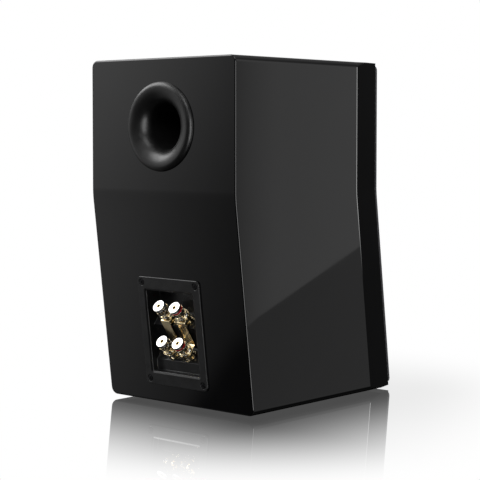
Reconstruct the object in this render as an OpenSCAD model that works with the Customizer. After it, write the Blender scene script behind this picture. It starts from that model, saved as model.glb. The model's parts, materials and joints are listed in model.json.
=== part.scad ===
/* Two-way bookshelf loudspeaker with a bent, gloss-black wooden cabinet.
   The woofer sits on the leaning lower front, the tweeter on the upright upper front,
   and the port and a recessed terminal cup with four binding posts are on the back.
   Row frame: X across, -Y is the front, Z up, origin under the middle of the bounding box. */

/* [Cabinet] */
// Width across the two sides
cab_w = 216; // [205:1:230]
// Height of the wooden body without its feet
cab_h = 378; // [370:1:390]
// Depth of a side, from its front edge to the back face
side_d = 205; // [200:1:215]
// Depth of the long chamfer between a side and the front face
chamfer_d = 52; // [45:1:56]
// How far that chamfer comes in from the side
chamfer_in = 12.5; // [10:0.5:14]
// Height of the bend above the underside
bend_h = 229.5; // [225:0.5:234]
// How far the underside stands forward of the upright half
lean_d = 28.7; // [24:0.1:32]
// Radius of the bend
bend_r = 120; // [90:5:150]
// Radius of the four edges that run from front to back
edge_r = 8; // [6:0.5:10]
// Thickness of the sides, top, bottom and back
wall_t = 18; // [16:1:19]
// Thickness of the front baffle
baffle_t = 25; // [22:1:26]
// Height of the rubber feet
foot_h = 3.3; // [2.5:0.1:5]

/* [Port] */
// Height of the port's centre
port_z = 304.3; // [300:0.1:310]
// Outer radius of the port's flange
port_flange_r = 48.3; // [46:0.1:50]
// Inner radius of the port tube
port_r = 24.5; // [22:0.5:26]
// How far the flange's crest stands proud
port_proud = 5; // [3:0.5:6]
// Distance from the back face to the tube's inner end
port_len = 130; // [115:1:135]

/* [Terminal cup] */
// Width of the cup's flange plate
plate_w = 92.5; // [90:0.5:96]
// Height of the plate along the leaning back
plate_h = 121.3; // [118:0.5:124]
// Height of the plate's lower edge along the leaning back
plate_v = 20.1; // [18:0.5:24]
// Width of the recess
recess_w = 70; // [68:1:74]
// Depth of the recess
recess_d = 20; // [18:1:22]
// Distance between the posts of one row
post_pitch = 23.6; // [22:0.1:26]
// Angle between a post and the plate's outward normal
post_tilt = 45; // [40:1:50]

/* [Drivers] */
// Height of the woofer's centre along the leaning front
woofer_v = 112; // [108:1:116]
// Radius of the woofer's flange
woofer_r = 84; // [80:0.5:86]
// Height of the tweeter's centre
tweeter_z = 303; // [298:1:308]
// Radius of the tweeter's face plate
tweeter_r = 52; // [48:0.5:54]

/* [Grille] */
// Depth of the grille with its cloth
grille_t = 6.2; // [5.5:0.1:8]
// Distance from the front face's edge to the grille's edge
grille_inset = 2; // [1.5:0.5:4]

/* [Hidden] */

fine = 96;    // facets of a large circle
small = 48;   // facets of a small circle
gap = 0.1;    // clearance where one part sits in another
over = 1;     // how far a cutter runs past the face it cuts

// The bend: a line at depth y keeps its depth above it and moves forward below it
lean_a = atan2(lean_d, bend_h);
bend_t = bend_r * tan(lean_a / 2);
bend_top = bend_h + bend_t;
bend_low = bend_h - bend_t * cos(lean_a);
bend_steps = 6;
front_y = -side_d / 2 - chamfer_d;
side_y = -side_d / 2;
back_y = side_d / 2;
front_w = cab_w - 2 * chamfer_in;
inner_w = cab_w - 2 * wall_t;
grille_low_y = front_y - lean_d + grille_inset * sin(lean_a) - grille_t;
row_y = -(back_y + port_proud + grille_low_y) / 2;

function lean(z) =
  z >= bend_top ? 0 :
  z <= bend_low ? -(bend_h - z) * tan(lean_a) :
  sqrt(bend_r * bend_r - pow(bend_top - z, 2)) - bend_r;

function bend_heights() =
  [for (i = [0 : bend_steps]) bend_top - bend_r * sin(lean_a * (1 - i / bend_steps))];

// A plan outline carried up the bent back and front from z0 to z1
module column(plan, z0, z1) {
  heights = concat([z0], [for (z = bend_heights()) if (z > z0 + 0.5 && z < z1 - 0.5) z], [z1]);
  n = len(plan);
  points = [for (z = heights, p = plan) [p.x, p.y + lean(z), z]];
  sides = [for (k = [0 : len(heights) - 2], i = [0 : n - 1])
    [k * n + i, (k + 1) * n + i, (k + 1) * n + (i + 1) % n, k * n + (i + 1) % n]];
  bottom = [for (i = [0 : n - 1]) i];
  top = [for (i = [n - 1 : -1 : 0]) (len(heights) - 1) * n + i];
  polyhedron(points, concat([bottom, top], sides), convexity = 4);
}

function box_plan(half_w, y0, y1) = [[-half_w, y0], [half_w, y0], [half_w, y1], [-half_w, y1]];

// Half the cabinet's width at depth y, which narrows along the chamfers
function half_at(y) = cab_w / 2 - max(0, side_y - y) * chamfer_in / chamfer_d;

function arc(cx, cy, r, a0, a1, n) =
  [for (i = [0 : n]) let (a = a0 + (a1 - a0) * i / n) [cx + r * cos(a), cy + r * sin(a)]];

function rounded(w, h, r, n = 8) = concat(
  arc(w / 2 - r, r, r, -90, 0, n), arc(w / 2 - r, h - r, r, 0, 90, n),
  arc(-w / 2 + r, h - r, r, 90, 180, n), arc(-w / 2 + r, r, r, 180, 270, n));

// A bar along Y whose XZ outline is a rounded rectangle
module outline_bar(inset, r, w = cab_w) {
  translate([0, 200, inset])
    rotate([90, 0, 0])
      linear_extrude(500) polygon(rounded(w - 2 * inset, cab_h - 2 * inset, r));
}

// Places: the cabinet's own frame has z = 0 at the underside, y = 0 at mid depth of the sides.
// The four faces' frames have x across, y up the face and z outward.
module placed() { translate([0, row_y, foot_h]) children(); }
module on_lower_front(v) {
  placed() translate([0, front_y - lean_d, 0]) rotate([90 - lean_a, 0, 0]) translate([0, v, 0]) children();
}
module on_upper_front(z) { placed() translate([0, front_y, z]) rotate([90, 0, 0]) children(); }
module on_lower_back(v) {
  placed() translate([0, back_y - lean_d, 0]) rotate([90 + lean_a, 0, 180]) translate([0, v, 0]) children();
}
module on_upper_back(z) { placed() translate([0, back_y, z]) rotate([90, 0, 180]) children(); }

module ring_of(n, r, turn = 0) {
  for (i = [0 : n - 1]) rotate(turn + i * 360 / n) translate([r, 0, 0]) children();
}
module tube(r_out, r_in, z0, z1, facets = fine) {
  difference() {
    translate([0, 0, z0]) cylinder(r = r_out, h = z1 - z0, $fn = facets);
    translate([0, 0, z0 - over]) cylinder(r = r_in, h = z1 - z0 + 2 * over, $fn = facets);
  }
}

// ---------------------------------------------------------------- cabinet

module wrap_hollow() { column(box_plan(inner_w / 2, front_y, back_y), wall_t, cab_h - wall_t); }

module cabinet_wrap() {
  y0 = front_y + baffle_t;
  y1 = back_y - wall_t;
  color([0.03, 0.03, 0.035]) placed() difference() {
    intersection() {
      column([[-half_at(y0), y0], [half_at(y0), y0], [cab_w / 2, side_y], [cab_w / 2, y1],
        [-cab_w / 2, y1], [-cab_w / 2, side_y]], 0, cab_h);
      outline_bar(0, edge_r);
    }
    wrap_hollow();
  }
}

// Pockets from inside the baffle, which leave a thin skin over each magnet
magnet_x = 85;
magnet_r = 5;
magnet_skin = 1.5;
magnet_depth = 3;
magnet_rows_low = [14, 205];
magnet_row_top = 362;
module at_magnets() {
  for (x = [-magnet_x, magnet_x]) {
    for (v = magnet_rows_low) on_lower_front(v) translate([x, 0, 0]) children();
    on_upper_front(magnet_row_top) translate([x, 0, 0]) children();
  }
}

woofer_hole_r = 76;
tweeter_hole_r = 40;
flange_t = 5;
woofer_screw_r = 79.3;
tweeter_screw_r = 46;
woofer_screws_n = 6;
tweeter_screws_n = 4;

module front_baffle() {
  y1 = front_y + baffle_t;
  color([0.03, 0.03, 0.035]) difference() {
    placed() intersection() {
      column([[-half_at(front_y), front_y], [half_at(front_y), front_y], [half_at(y1), y1],
        [-half_at(y1), y1]], 0, cab_h);
      outline_bar(0, edge_r);
    }
    on_lower_front(woofer_v) {
      translate([0, 0, -flange_t]) cylinder(r = woofer_r + gap, h = flange_t + over, $fn = fine);
      translate([0, 0, -3 * baffle_t]) cylinder(r = woofer_hole_r, h = 3 * baffle_t, $fn = fine);
      ring_of(woofer_screws_n, woofer_screw_r, 30)
        translate([0, 0, -20]) cylinder(r = 2, h = 20, $fn = small);
    }
    on_upper_front(tweeter_z) {
      translate([0, 0, -flange_t]) cylinder(r = tweeter_r + gap, h = flange_t + over, $fn = fine);
      translate([0, 0, -2 * baffle_t]) cylinder(r = tweeter_hole_r, h = 2 * baffle_t, $fn = fine);
      ring_of(tweeter_screws_n, tweeter_screw_r, 45)
        translate([0, 0, -18]) cylinder(r = 1.8, h = 18, $fn = small);
    }
    at_magnets() translate([0, 0, -2 * baffle_t])
      cylinder(r = magnet_r + gap, h = 2 * baffle_t - magnet_skin, $fn = small);
  }
}

module baffle_magnets() {
  color("silver") at_magnets()
    translate([0, 0, -magnet_skin - gap - magnet_depth])
      cylinder(r = magnet_r, h = magnet_depth, $fn = small);
}

// The recess: two shelves square to the posts, with an undercut below each tip
tip_n = -6.8;
tip_v = [47, 86.5];
shelf_l = (recess_d + tip_n) * sqrt(2);
recess_low_v = 35.1;
recess_top_v = 126.3;
cup_wall = 2.5;
plate_t = 2;
foot_back = 8; // from a shelf's tip back to the post's axis
post_x = post_pitch / 2;
foot_n = tip_n - foot_back / sqrt(2);
function foot_v(row) = tip_v[row] + foot_back / sqrt(2);
screw_in = 6.3;
cup_hole_w = recess_w + 2 * cup_wall + 2;
cup_hole_low = recess_low_v - cup_wall - 1.2;
cup_hole_top = recess_top_v + cup_wall + 1.2;

module at_plate_screws() {
  for (x = [-1, 1], v = [plate_v + screw_in, plate_v + plate_h - screw_in])
    on_lower_back(v) translate([x * (plate_w / 2 - screw_in), 0, 0]) children();
}

module back_panel() {
  y0 = back_y - wall_t;
  color([0.03, 0.03, 0.035]) difference() {
    placed() intersection() {
      column(box_plan(cab_w / 2, y0, back_y), 0, cab_h);
      outline_bar(0, edge_r);
    }
    on_upper_back(port_z) translate([0, 0, -2 * wall_t])
      cylinder(r = port_flange_r - 2.5, h = 3 * wall_t, $fn = fine);
    on_lower_back(0) translate([-cup_hole_w / 2, cup_hole_low, -2 * wall_t])
      cube([cup_hole_w, cup_hole_top - cup_hole_low, 3 * wall_t]);
    at_plate_screws() translate([0, 0, -12]) cylinder(r = 1.5, h = 12 + over, $fn = small);
  }
}

brace_low = 204;
brace_high = 219;
module window_brace() {
  color("tan") placed() difference() {
    column(box_plan(inner_w / 2, front_y + baffle_t, back_y - wall_t), brace_low, brace_high);
    for (x = [-42, 42]) translate([x, -35, brace_low - over])
      linear_extrude(brace_high - brace_low + 2 * over)
        translate([0, -60]) polygon(rounded(66, 140, 12));
  }
}

pad_t = 12;
module damping_pads() {
  color("whitesmoke") placed() {
    for (x = [-1, 1]) {
      column([for (p = box_plan(pad_t / 2, -50, 55)) [p.x + x * (inner_w - pad_t) / 2, p.y]], 34, 196);
      column([for (p = box_plan(pad_t / 2, -85, 70)) [p.x + x * (inner_w - pad_t) / 2, p.y]], 240, 345);
    }
    column(box_plan(62, -80, 70), cab_h - wall_t - pad_t, cab_h - wall_t);
  }
}

foot_x = 68;
module rubber_feet() {
  color([0.08, 0.08, 0.08]) placed()
    for (x = [-foot_x, foot_x], y = [front_y + 38, back_y - 34]) translate([x, y - lean_d, -foot_h])
      rotate_extrude($fn = small) polygon([[0, 0], [7.4, 0], [8.4, 0.8], [9, foot_h], [0, foot_h]]);
}

// ------------------------------------------------------------------- port

lip_r = 5.8;
lip_x = port_flange_r - lip_r + 0.05;
flare_r = lip_x - port_r;
flare_low = port_proud - flare_r;
tube_wall = 2.9;
tube_top = flare_low - 4;
socket_len = 22;

module port_flare() {
  spigot = port_flange_r - 2.8;
  outer = port_r + tube_wall + gap + 2;
  color([0.04, 0.04, 0.04]) on_upper_back(port_z) rotate_extrude($fn = fine) polygon(concat(
    arc(lip_x, port_proud - lip_r, lip_r, asin((lip_r - port_proud) / lip_r), 90, 8),
    arc(lip_x, flare_low, flare_r, 92, 180, 20),
    [[port_r, tube_top], [port_r + tube_wall + gap, tube_top],
     [port_r + tube_wall + gap, tube_top - socket_len], [outer, tube_top - socket_len],
     [outer, tube_top + 1], [spigot - 4, -9], [spigot, -6], [spigot, 0]]));
}

inner_flare_r = 9;
module port_tube() {
  end = -port_len;
  color([0.04, 0.04, 0.04]) on_upper_back(port_z) rotate_extrude($fn = fine) polygon(concat(
    [[port_r + tube_wall, tube_top - gap], [port_r, tube_top - gap]],
    arc(port_r + inner_flare_r, end + inner_flare_r, inner_flare_r, 180, 270, 10),
    [[port_r + inner_flare_r, end + tube_wall]],
    arc(port_r + inner_flare_r, end + inner_flare_r, inner_flare_r - tube_wall, 265, 180, 8)));
}

// ---------------------------------------------------------- terminal cup

// Outline of the recess in (outward, up the back), and the same zigzag moved in by one wall
function zigzag(dn, dv) = [
  [-recess_d + dn, tip_v[1] + shelf_l / sqrt(2) + dv], [tip_n + dn, tip_v[1] + dv],
  [-recess_d + dn, tip_v[0] + shelf_l / sqrt(2) + dv], [tip_n + dn, tip_v[0] + dv]];

module cup_prism(points, w) {
  rotate([90, 0, 90]) translate([0, 0, -w / 2])
    linear_extrude(w) polygon([for (p = points) [p.y, p.x]]);
}

module terminal_cup() {
  shelf_wall = 3;
  dn = -3.66;
  dv = -0.58;
  color([0.05, 0.05, 0.05]) difference() {
    on_lower_back(0) difference() {
      union() {
        translate([0, plate_v, 0]) linear_extrude(plate_t) polygon(rounded(plate_w, plate_h, 5));
        cup_prism(concat([[plate_t / 2, recess_low_v - cup_wall], [plate_t / 2, recess_top_v + cup_wall],
          [-recess_d + dn, recess_top_v + cup_wall]], zigzag(dn, dv),
          [[tip_n + dn, recess_low_v - cup_wall]]), recess_w + 2 * cup_wall);
      }
      cup_prism(concat([[plate_t + over, recess_low_v], [plate_t + over, recess_top_v],
        [-recess_d, recess_top_v]], zigzag(0, 0), [[tip_n, recess_low_v]]), recess_w);
    }
    at_plate_screws() {
      translate([0, 0, -over]) cylinder(r = 2.1, h = plate_t + 2 * over, $fn = small);
      translate([0, 0, 0.6]) cylinder(r = 3.6, h = plate_t, $fn = small);
    }
    at_posts() translate([0, 0, -shelf_wall - over])
      cylinder(r = stud_r + gap, h = shelf_wall + 2 * over, $fn = small);
  }
}

module terminal_screws() {
  color([0.08, 0.08, 0.08]) at_plate_screws() {
    translate([0, 0, 0.7]) difference() {
      cylinder(r = 3.1, h = 1, $fn = small);
      translate([0, 0, 0.3]) cylinder(r = 1.4, h = 1, $fn = 6);
    }
    translate([0, 0, -11]) cylinder(r = 1.4, h = 11.8, $fn = small);
  }
}

// --------------------------------------------------------- binding posts

// Heights along a post, measured outward from its shelf
collar_h = 8;
strip_t = 0.8;
washer_low = collar_h + strip_t + 0.02;
washer_h = 1.2;
knob_low = washer_low + washer_h + 0.02;
knob_top = 27.5;
cap_low = 23.6;
band_low = 21.9;
stud_r = 3.5;
stud_top = 27.3;
stud_low = -16;
socket_r = 2.03;
socket_depth = 18;
knob_play = 0.05;
cap_r = 6.8;
barrel_r = 4.9;
sleeve_in = 5;

module at_post(side, row) {
  on_lower_back(foot_v(row)) translate([-side * post_x, 0, foot_n]) rotate([-post_tilt, 0, 0]) children();
}
module at_posts() {
  for (side = [-1, 1], row = [0, 1]) at_post(side, row) children();
}

module post_collars() {
  color([0.85, 0.87, 0.88, 0.5]) at_posts() tube(7.8, stud_r + gap, 0, collar_h, small);
}

module post_studs() {
  color("gold") at_posts() difference() {
    translate([0, 0, stud_low]) cylinder(r = stud_r, h = stud_top - stud_low, $fn = small);
    translate([0, 0, stud_top - socket_depth]) cylinder(r = socket_r, h = socket_depth + over, $fn = small);
  }
}

module post_nuts() {
  color("gold") at_posts() {
    tube(5.2, stud_r + 0.02, -4, -3, small);
    difference() {
      translate([0, 0, -8.6]) cylinder(r = 5.4, h = 4.5, $fn = 6);
      translate([0, 0, -9]) cylinder(r = stud_r + 0.02, h = 6, $fn = small);
    }
  }
}

strip_w = 12.5;
strip_out = 8;   // from the upper post's axis out to the bend
strip_slope = atan2(recess_d + tip_n, tip_v[1] - tip_v[0] - (recess_d + tip_n));

// Centre line of a strip in (outward, up): a tab square to the upper post, a web along the
// undercut and a tab square to the lower post
function strip_path() = let (
  c = sqrt(0.5),
  h = collar_h + strip_t / 2,
  up = [foot_n + c * h, foot_v(1) + c * h],
  low = [foot_n + c * h, foot_v(0) + c * h],
  bend1 = up + strip_out * [c, -c],
  drop = (bend1.x + bend1.y - low.x - low.y) / (sin(strip_slope) + cos(strip_slope)),
  bend2 = bend1 - drop * [sin(strip_slope), cos(strip_slope)])
  [up - 6 * [c, -c], bend1, bend2, low + 6 * [c, -c]];

function unit(v) = v / norm(v);
function left_of(v) = [-v.y, v.x];

// Both edges of a bent strip, mitred at the bends
function strip_edge(path, half) = [for (i = [0 : len(path) - 1]) let (
  a = i == 0 ? unit(path[1] - path[0]) : unit(path[i] - path[i - 1]),
  b = i == len(path) - 1 ? a : unit(path[i + 1] - path[i]),
  m = unit(left_of(a) + left_of(b)))
  path[i] + m * half / (m * left_of(a))];

module jumper(side) {
  path = strip_path();
  outline = concat(strip_edge(path, strip_t / 2),
    [for (i = [len(path) - 1 : -1 : 0]) strip_edge(path, -strip_t / 2)[i]]);
  difference() {
    on_lower_back(0) translate([-side * post_x, 0, 0]) cup_prism(outline, strip_w);
    for (row = [0, 1]) at_post(side, row) translate([0, 0, collar_h - over])
      cylinder(r = stud_r + gap, h = strip_t + 2 * over, $fn = small);
  }
}
module jumper_negative() { color("gold") jumper(1); }
module jumper_positive() { color("gold") jumper(-1); }

module clamp_washer(side, row) {
  color("gold") at_post(side, row)
    tube(6.2, stud_r + knob_play, washer_low, washer_low + washer_h, small);
}

// A barrel with a foot flange and a wide cap, which turns on the stud
module knob_core(side, row) {
  bore_r = stud_r + knob_play;
  foot_top = knob_low + 1.4;
  color("silver") at_post(side, row) rotate_extrude($fn = small)
    polygon([[bore_r, knob_low], [6.6, knob_low], [6.6, foot_top], [barrel_r, foot_top],
      [barrel_r, cap_low], [cap_r, cap_low], [cap_r, knob_top - 0.5], [cap_r - 0.5, knob_top],
      [bore_r, knob_top]]);
}

module knob_sleeve(side, row) {
  low = knob_low + 1.5;
  color([0.85, 0.87, 0.88, 0.5]) at_post(side, row) rotate_extrude($fn = small)
    polygon([[sleeve_in, low], [8.3, low], [8.3, low + 1.3], [7.5, low + 2.4], [7.5, band_low - 0.5],
      [7, band_low], [sleeve_in, band_low]]);
}

module knob_band(side, row, paint) {
  color(paint) at_post(side, row) tube(6.9, sleeve_in, band_low, cap_low, small);
}

// ----------------------------------------------------------------- woofer

surround_in = 55;
surround_out = 69;
surround_n = -4.6;
surround_t = 0.7;
surround_flat = 0.75;
cone_n = -4.6;
coil_r = 19.2;
cone_low_n = -33;
plate_n = -60;
magnet_top = plate_n - 6;
magnet_low = magnet_top - 18;
spider_n = -42;
spider_seat_n = spider_n - 0.3;
lip_seat_r = surround_out + 4.6;
lip_seat_n = surround_n - surround_t / 2 - 0.02;

module woofer_basket() {
  spokes = 6;
  color([0.1, 0.1, 0.1]) on_lower_front(woofer_v) difference() {
    rotate_extrude($fn = fine) polygon([[woofer_r, -flange_t], [woofer_r, -0.6], [woofer_r - 0.6, 0],
      [lip_seat_r, 0], [lip_seat_r, lip_seat_n], [67.5, lip_seat_n], [67.5, -8],
      [51.5, spider_seat_n], [46.5, spider_seat_n], [46.5, spider_seat_n - 3], [28, plate_n + 3],
      [28, plate_n], [49, plate_n], [52, plate_n + 8], [54.5, spider_seat_n], [72, -9.5],
      [woofer_hole_r - 0.2, -8.5], [woofer_hole_r - 0.2, -flange_t]]);
    for (i = [0 : spokes - 1]) rotate(i * 360 / spokes + 30) translate([50, -14, plate_n + 20])
      cube([40, 28, 28]);
    ring_of(woofer_screws_n, woofer_screw_r, 30) {
      translate([0, 0, -flange_t - over]) cylinder(r = 2.4, h = flange_t + 2 * over, $fn = small);
      translate([0, 0, -3.2]) cylinder(r = 3.9, h = 4, $fn = small);
    }
  }
}

// Thin shell along a rolled or waved line: points out at +half, back at -half
function shell_of(line, half) = concat(strip_edge(line, half),
  [for (i = [len(line) - 1 : -1 : 0]) strip_edge(line, -half)[i]]);

module woofer_surround() {
  mid = (surround_in + surround_out) / 2;
  r = (surround_out - surround_in) / 2;
  // A flattened roll: at the cone's outward limit it still clears the grille's cloth
  roll = [for (p = arc(mid, 0, r, 178, 2, 14)) [p[0], surround_n + surround_flat * p[1]]];
  color([0.06, 0.06, 0.06]) on_lower_front(woofer_v) rotate_extrude($fn = fine) polygon(shell_of(concat(
    [[surround_in - 2, surround_n]], roll, [[surround_out + 4, surround_n]]), surround_t / 2));
}

module woofer_cone() {
  color([0.12, 0.12, 0.12]) on_lower_front(woofer_v) rotate_extrude($fn = fine) polygon(shell_of(
    [[surround_in + 0.5, cone_n - 0.9], [46, cone_n - 6.6], [36, cone_n - 14], [27, cone_n - 21.6],
     [coil_r + 0.8, cone_low_n]], 0.45));
}

module woofer_dust_cap() {
  base = 24;
  top_n = -19.7;
  rise = 8.2;
  t = 0.6;
  line = [for (i = [0 : 10]) let (r = base * i / 10) [r, top_n - rise * pow(r / base, 2)]];
  color([0.05, 0.05, 0.05]) on_lower_front(woofer_v) rotate_extrude($fn = fine)
    polygon(concat(line, [for (i = [10 : -1 : 0]) line[i] - [0, t]]));
}

module woofer_voice_coil() {
  color([0.7, 0.4, 0.2]) on_lower_front(woofer_v) {
    tube(coil_r + 0.2, coil_r - 0.1, -73, cone_low_n);
    tube(coil_r + 0.9, coil_r + 0.2, -72, -57);
  }
}

module woofer_spider() {
  waves = 4;
  first = coil_r + 0.8;
  last = 46.4;
  color([0.75, 0.6, 0.3]) on_lower_front(woofer_v) rotate_extrude($fn = fine) polygon(shell_of(concat(
    [for (i = [0 : 24]) let (t = i / 24) [first + (last - first) * t, spider_n + 1.4 * sin(t * 360 * waves)]],
    [[51, spider_n]]), 0.25));
}

module woofer_magnet() {
  color([0.2, 0.2, 0.2]) on_lower_front(woofer_v) tube(50, 25, magnet_low, magnet_top);
}

module woofer_steel() {
  color([0.5, 0.5, 0.52]) on_lower_front(woofer_v) {
    tube(48, coil_r + 1.3, magnet_top, plate_n);
    difference() {
      union() {
        translate([0, 0, magnet_low - 6]) cylinder(r = 47, h = 6, $fn = fine);
        translate([0, 0, magnet_low - over])
          cylinder(r = coil_r - 0.5, h = plate_n - magnet_low + over, $fn = fine);
      }
      translate([0, 0, magnet_low - 10]) cylinder(r = 6, h = 60, $fn = small);
    }
  }
}

module cap_screw(head_r, head_h, shank_r, shank_l) {
  difference() {
    cylinder(r = head_r, h = head_h, $fn = small);
    translate([0, 0, head_h * 0.4]) cylinder(r = head_r * 0.52, h = head_h, $fn = 6);
  }
  translate([0, 0, -shank_l]) cylinder(r = shank_r, h = shank_l, $fn = small);
}

module woofer_screws() {
  color([0.1, 0.1, 0.1]) on_lower_front(woofer_v) ring_of(woofer_screws_n, woofer_screw_r, 30)
    translate([0, 0, -3.2]) cap_screw(3.5, 2.9, 1.9, 16);
}

// ---------------------------------------------------------------- tweeter

dome_r = 12.8;
dome_n = -3.4;
dome_h = 4.8;
dome_sphere = (dome_r * dome_r + dome_h * dome_h) / (2 * dome_h);
mesh_r = 19;
mesh_n = -1.4;
mesh_h = 4.2;
mesh_sphere = (mesh_r * mesh_r + mesh_h * mesh_h) / (2 * mesh_h);
tweeter_seat_n = dome_n - 0.5;
tweeter_plate_n = -7;
tweeter_magnet_n = -11;
tweeter_yoke_n = -23;

module tweeter_faceplate() {
  color([0.08, 0.08, 0.08]) on_upper_front(tweeter_z) difference() {
    rotate_extrude($fn = fine) polygon([[tweeter_r, -flange_t], [tweeter_r, -0.5], [tweeter_r - 0.5, 0],
      [31, 0], [25, -0.5], [mesh_r + 0.4, mesh_n - 0.6], [17.2, mesh_n - 0.8], [16.1, dome_n - 0.1],
      [16.1, tweeter_seat_n], [14.6, tweeter_seat_n], [14.6, tweeter_plate_n], [38, tweeter_plate_n],
      [38, -flange_t]]);
    ring_of(tweeter_screws_n, tweeter_screw_r, 45) {
      translate([0, 0, -flange_t - over]) cylinder(r = 2.1, h = flange_t + 2 * over, $fn = small);
      translate([0, 0, -2.6]) cylinder(r = 3.6, h = 4, $fn = small);
    }
  }
}

// Cap of a sphere as a thin shell, given by its rim radius and height
function cap_line(rim, h, sphere_r, n0, n) =
  [for (i = [0 : n]) let (a = asin(rim / sphere_r) * (1 - i / n))
    [sphere_r * sin(a), n0 + h - sphere_r * (1 - cos(a))]];

module cap_shell(rim, h, sphere_r, n0, t) {
  line = cap_line(rim, h, sphere_r, n0, 10);
  rotate_extrude($fn = fine)
    polygon(concat(line, [for (i = [len(line) - 1 : -1 : 0]) line[i] - [0, t]]));
}

module tweeter_dome() {
  color([0.75, 0.75, 0.78]) on_upper_front(tweeter_z)
    cap_shell(dome_r - 0.2, dome_h, dome_sphere, dome_n, 0.3);
}
module tweeter_surround() {
  color([0.06, 0.06, 0.06]) on_upper_front(tweeter_z) rotate_extrude($fn = fine) polygon(shell_of(concat(
    [[dome_r + 0.15, dome_n - 0.3]], arc(dome_r + 1.5, dome_n - 0.3, 1.1, 175, 5, 8),
    [[dome_r + 3.05, dome_n - 0.3]]), 0.12));
}
module tweeter_voice_coil() {
  color([0.7, 0.4, 0.2]) on_upper_front(tweeter_z) tube(12.75, 12.45, -10.5, dome_n - 0.35);
}
module tweeter_mesh() {
  color([0.15, 0.15, 0.15]) on_upper_front(tweeter_z) cap_shell(mesh_r, mesh_h, mesh_sphere, mesh_n, 0.5);
}
module tweeter_magnet() {
  color([0.2, 0.2, 0.2]) on_upper_front(tweeter_z) tube(36, 16, tweeter_yoke_n, tweeter_magnet_n);
}
module tweeter_steel() {
  color([0.5, 0.5, 0.52]) on_upper_front(tweeter_z) {
    tube(34, 13.6, tweeter_magnet_n, tweeter_plate_n);
    difference() {
      union() {
        translate([0, 0, tweeter_yoke_n - 4]) cylinder(r = 33, h = 4, $fn = fine);
        translate([0, 0, tweeter_yoke_n - over])
          cylinder(r = 11.8, h = tweeter_plate_n - tweeter_yoke_n + over, $fn = fine);
      }
      translate([0, 0, tweeter_yoke_n - 6]) cylinder(r = 4, h = 40, $fn = small);
    }
  }
}
module tweeter_rear_cup() {
  low = tweeter_yoke_n - 4;
  color([0.08, 0.08, 0.08]) on_upper_front(tweeter_z) difference() {
    translate([0, 0, low - 22]) cylinder(r = 24, h = 22, $fn = fine);
    translate([0, 0, low - 20]) cylinder(r = 22, h = 20 + over, $fn = fine);
  }
}
module tweeter_screws() {
  color([0.1, 0.1, 0.1]) on_upper_front(tweeter_z) ring_of(tweeter_screws_n, tweeter_screw_r, 45)
    translate([0, 0, -2.6]) cap_screw(3.2, 2.4, 1.6, 14);
}

// -------------------------------------------------------------- crossover

board_z = 24;
board_t = 1.6;
board_x = 110;
board_y0 = -108;
board_y1 = 0;
part_z = board_z + board_t;

module crossover_board() {
  color([0.1, 0.25, 0.15]) placed() {
    translate([-board_x / 2, board_y0, board_z]) cube([board_x, board_y1 - board_y0, board_t]);
    for (x = [-1, 1], y = [board_y0 + 6, board_y1 - 6])
      translate([x * (board_x / 2 - 6), y, wall_t]) cylinder(r = 3, h = board_z - wall_t, $fn = small);
  }
}
module inductors() {
  color([0.72, 0.4, 0.2]) placed() {
    for (c = [[-32, -26, 20, 9, 15], [30, -28, 17, 8, 14], [34, -82, 13, 6, 12]])
      translate([c[0], c[1], part_z]) tube(c[2], c[3], 0, c[4], small);
  }
}
module capacitors() {
  color([0.85, 0.75, 0.2]) placed()
    for (c = [[-2, -92, 8, 36], [-2, -74, 8, 36], [0, -56, 6.5, 30]])
      translate([c[0] - c[3] / 2, c[1], part_z + c[2]]) rotate([0, 90, 0])
        cylinder(r = c[2], h = c[3], $fn = small);
}
module resistors() {
  color("ivory") placed() for (y = [-98, -86, -74]) translate([-50, y, part_z]) cube([24, 8, 8]);
}

// A thin insulated lead swept along hand-picked points
function frame_x(d) = unit(cross(d, abs(d.z) > 0.9 ? [1, 0, 0] : [0, 0, 1]));
module lead(path, r) {
  n = 8;
  rings = [for (i = [0 : len(path) - 1]) let (
    d = unit(path[min(i + 1, len(path) - 1)] - path[max(i - 1, 0)]),
    u = frame_x(d), w = cross(d, u))
    for (k = [0 : n - 1]) path[i] + r * (cos(k * 360 / n) * u + sin(k * 360 / n) * w)];
  sides = [for (i = [0 : len(path) - 2], k = [0 : n - 1])
    [i * n + k, i * n + (k + 1) % n, (i + 1) * n + (k + 1) % n, (i + 1) * n + k]];
  polyhedron(rings, concat([[for (k = [n - 1 : -1 : 0]) k]],
    [[for (k = [0 : n - 1]) (len(path) - 1) * n + k]], sides), convexity = 6);
}

// Smooth the hand-picked points with a Catmull-Rom curve
function smooth(p, steps = 4) = concat([for (i = [0 : len(p) - 2], s = [0 : steps - 1]) let (
  t = s / steps,
  a = p[max(i - 1, 0)], b = p[i], c = p[i + 1], d = p[min(i + 2, len(p) - 1)])
  0.5 * (2 * b + (c - a) * t + (2 * a - 5 * b + 4 * c - d) * t * t + (3 * b - a - 3 * c + d) * t * t * t)],
  [p[len(p) - 1]]);

lead_r = 1.2;
upper_lead = [[11.8, 59.9, 82.8], [11.8, 52, 76], [16, 40, 62], [24, 28, 46], [30, 14, 33], [32, 4, 28],
  [32, -3, 26.9]];
lower_lead = [[11.8, 55, 43.8], [11.8, 47, 37.5], [10, 34, 31], [8, 18, 29], [8, 4, 28], [8, -3, 26.9]];
woofer_lead = [[-23, -104, 26.9], [-24, -112, 31], [-36, -124, 46], [-54, -128, 74], [-61, -134, 98],
  [-63.5, -139, 113]];
tweeter_lead = [[46, -60, 26.9], [52, -58, 40], [62, -58, 80], [66, -60, 130], [60, -62, 190],
  [54, -66, 214], [46, -78, 236], [36, -100, 260], [24, -118, 273], [20, -126.8, 281]];

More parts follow.
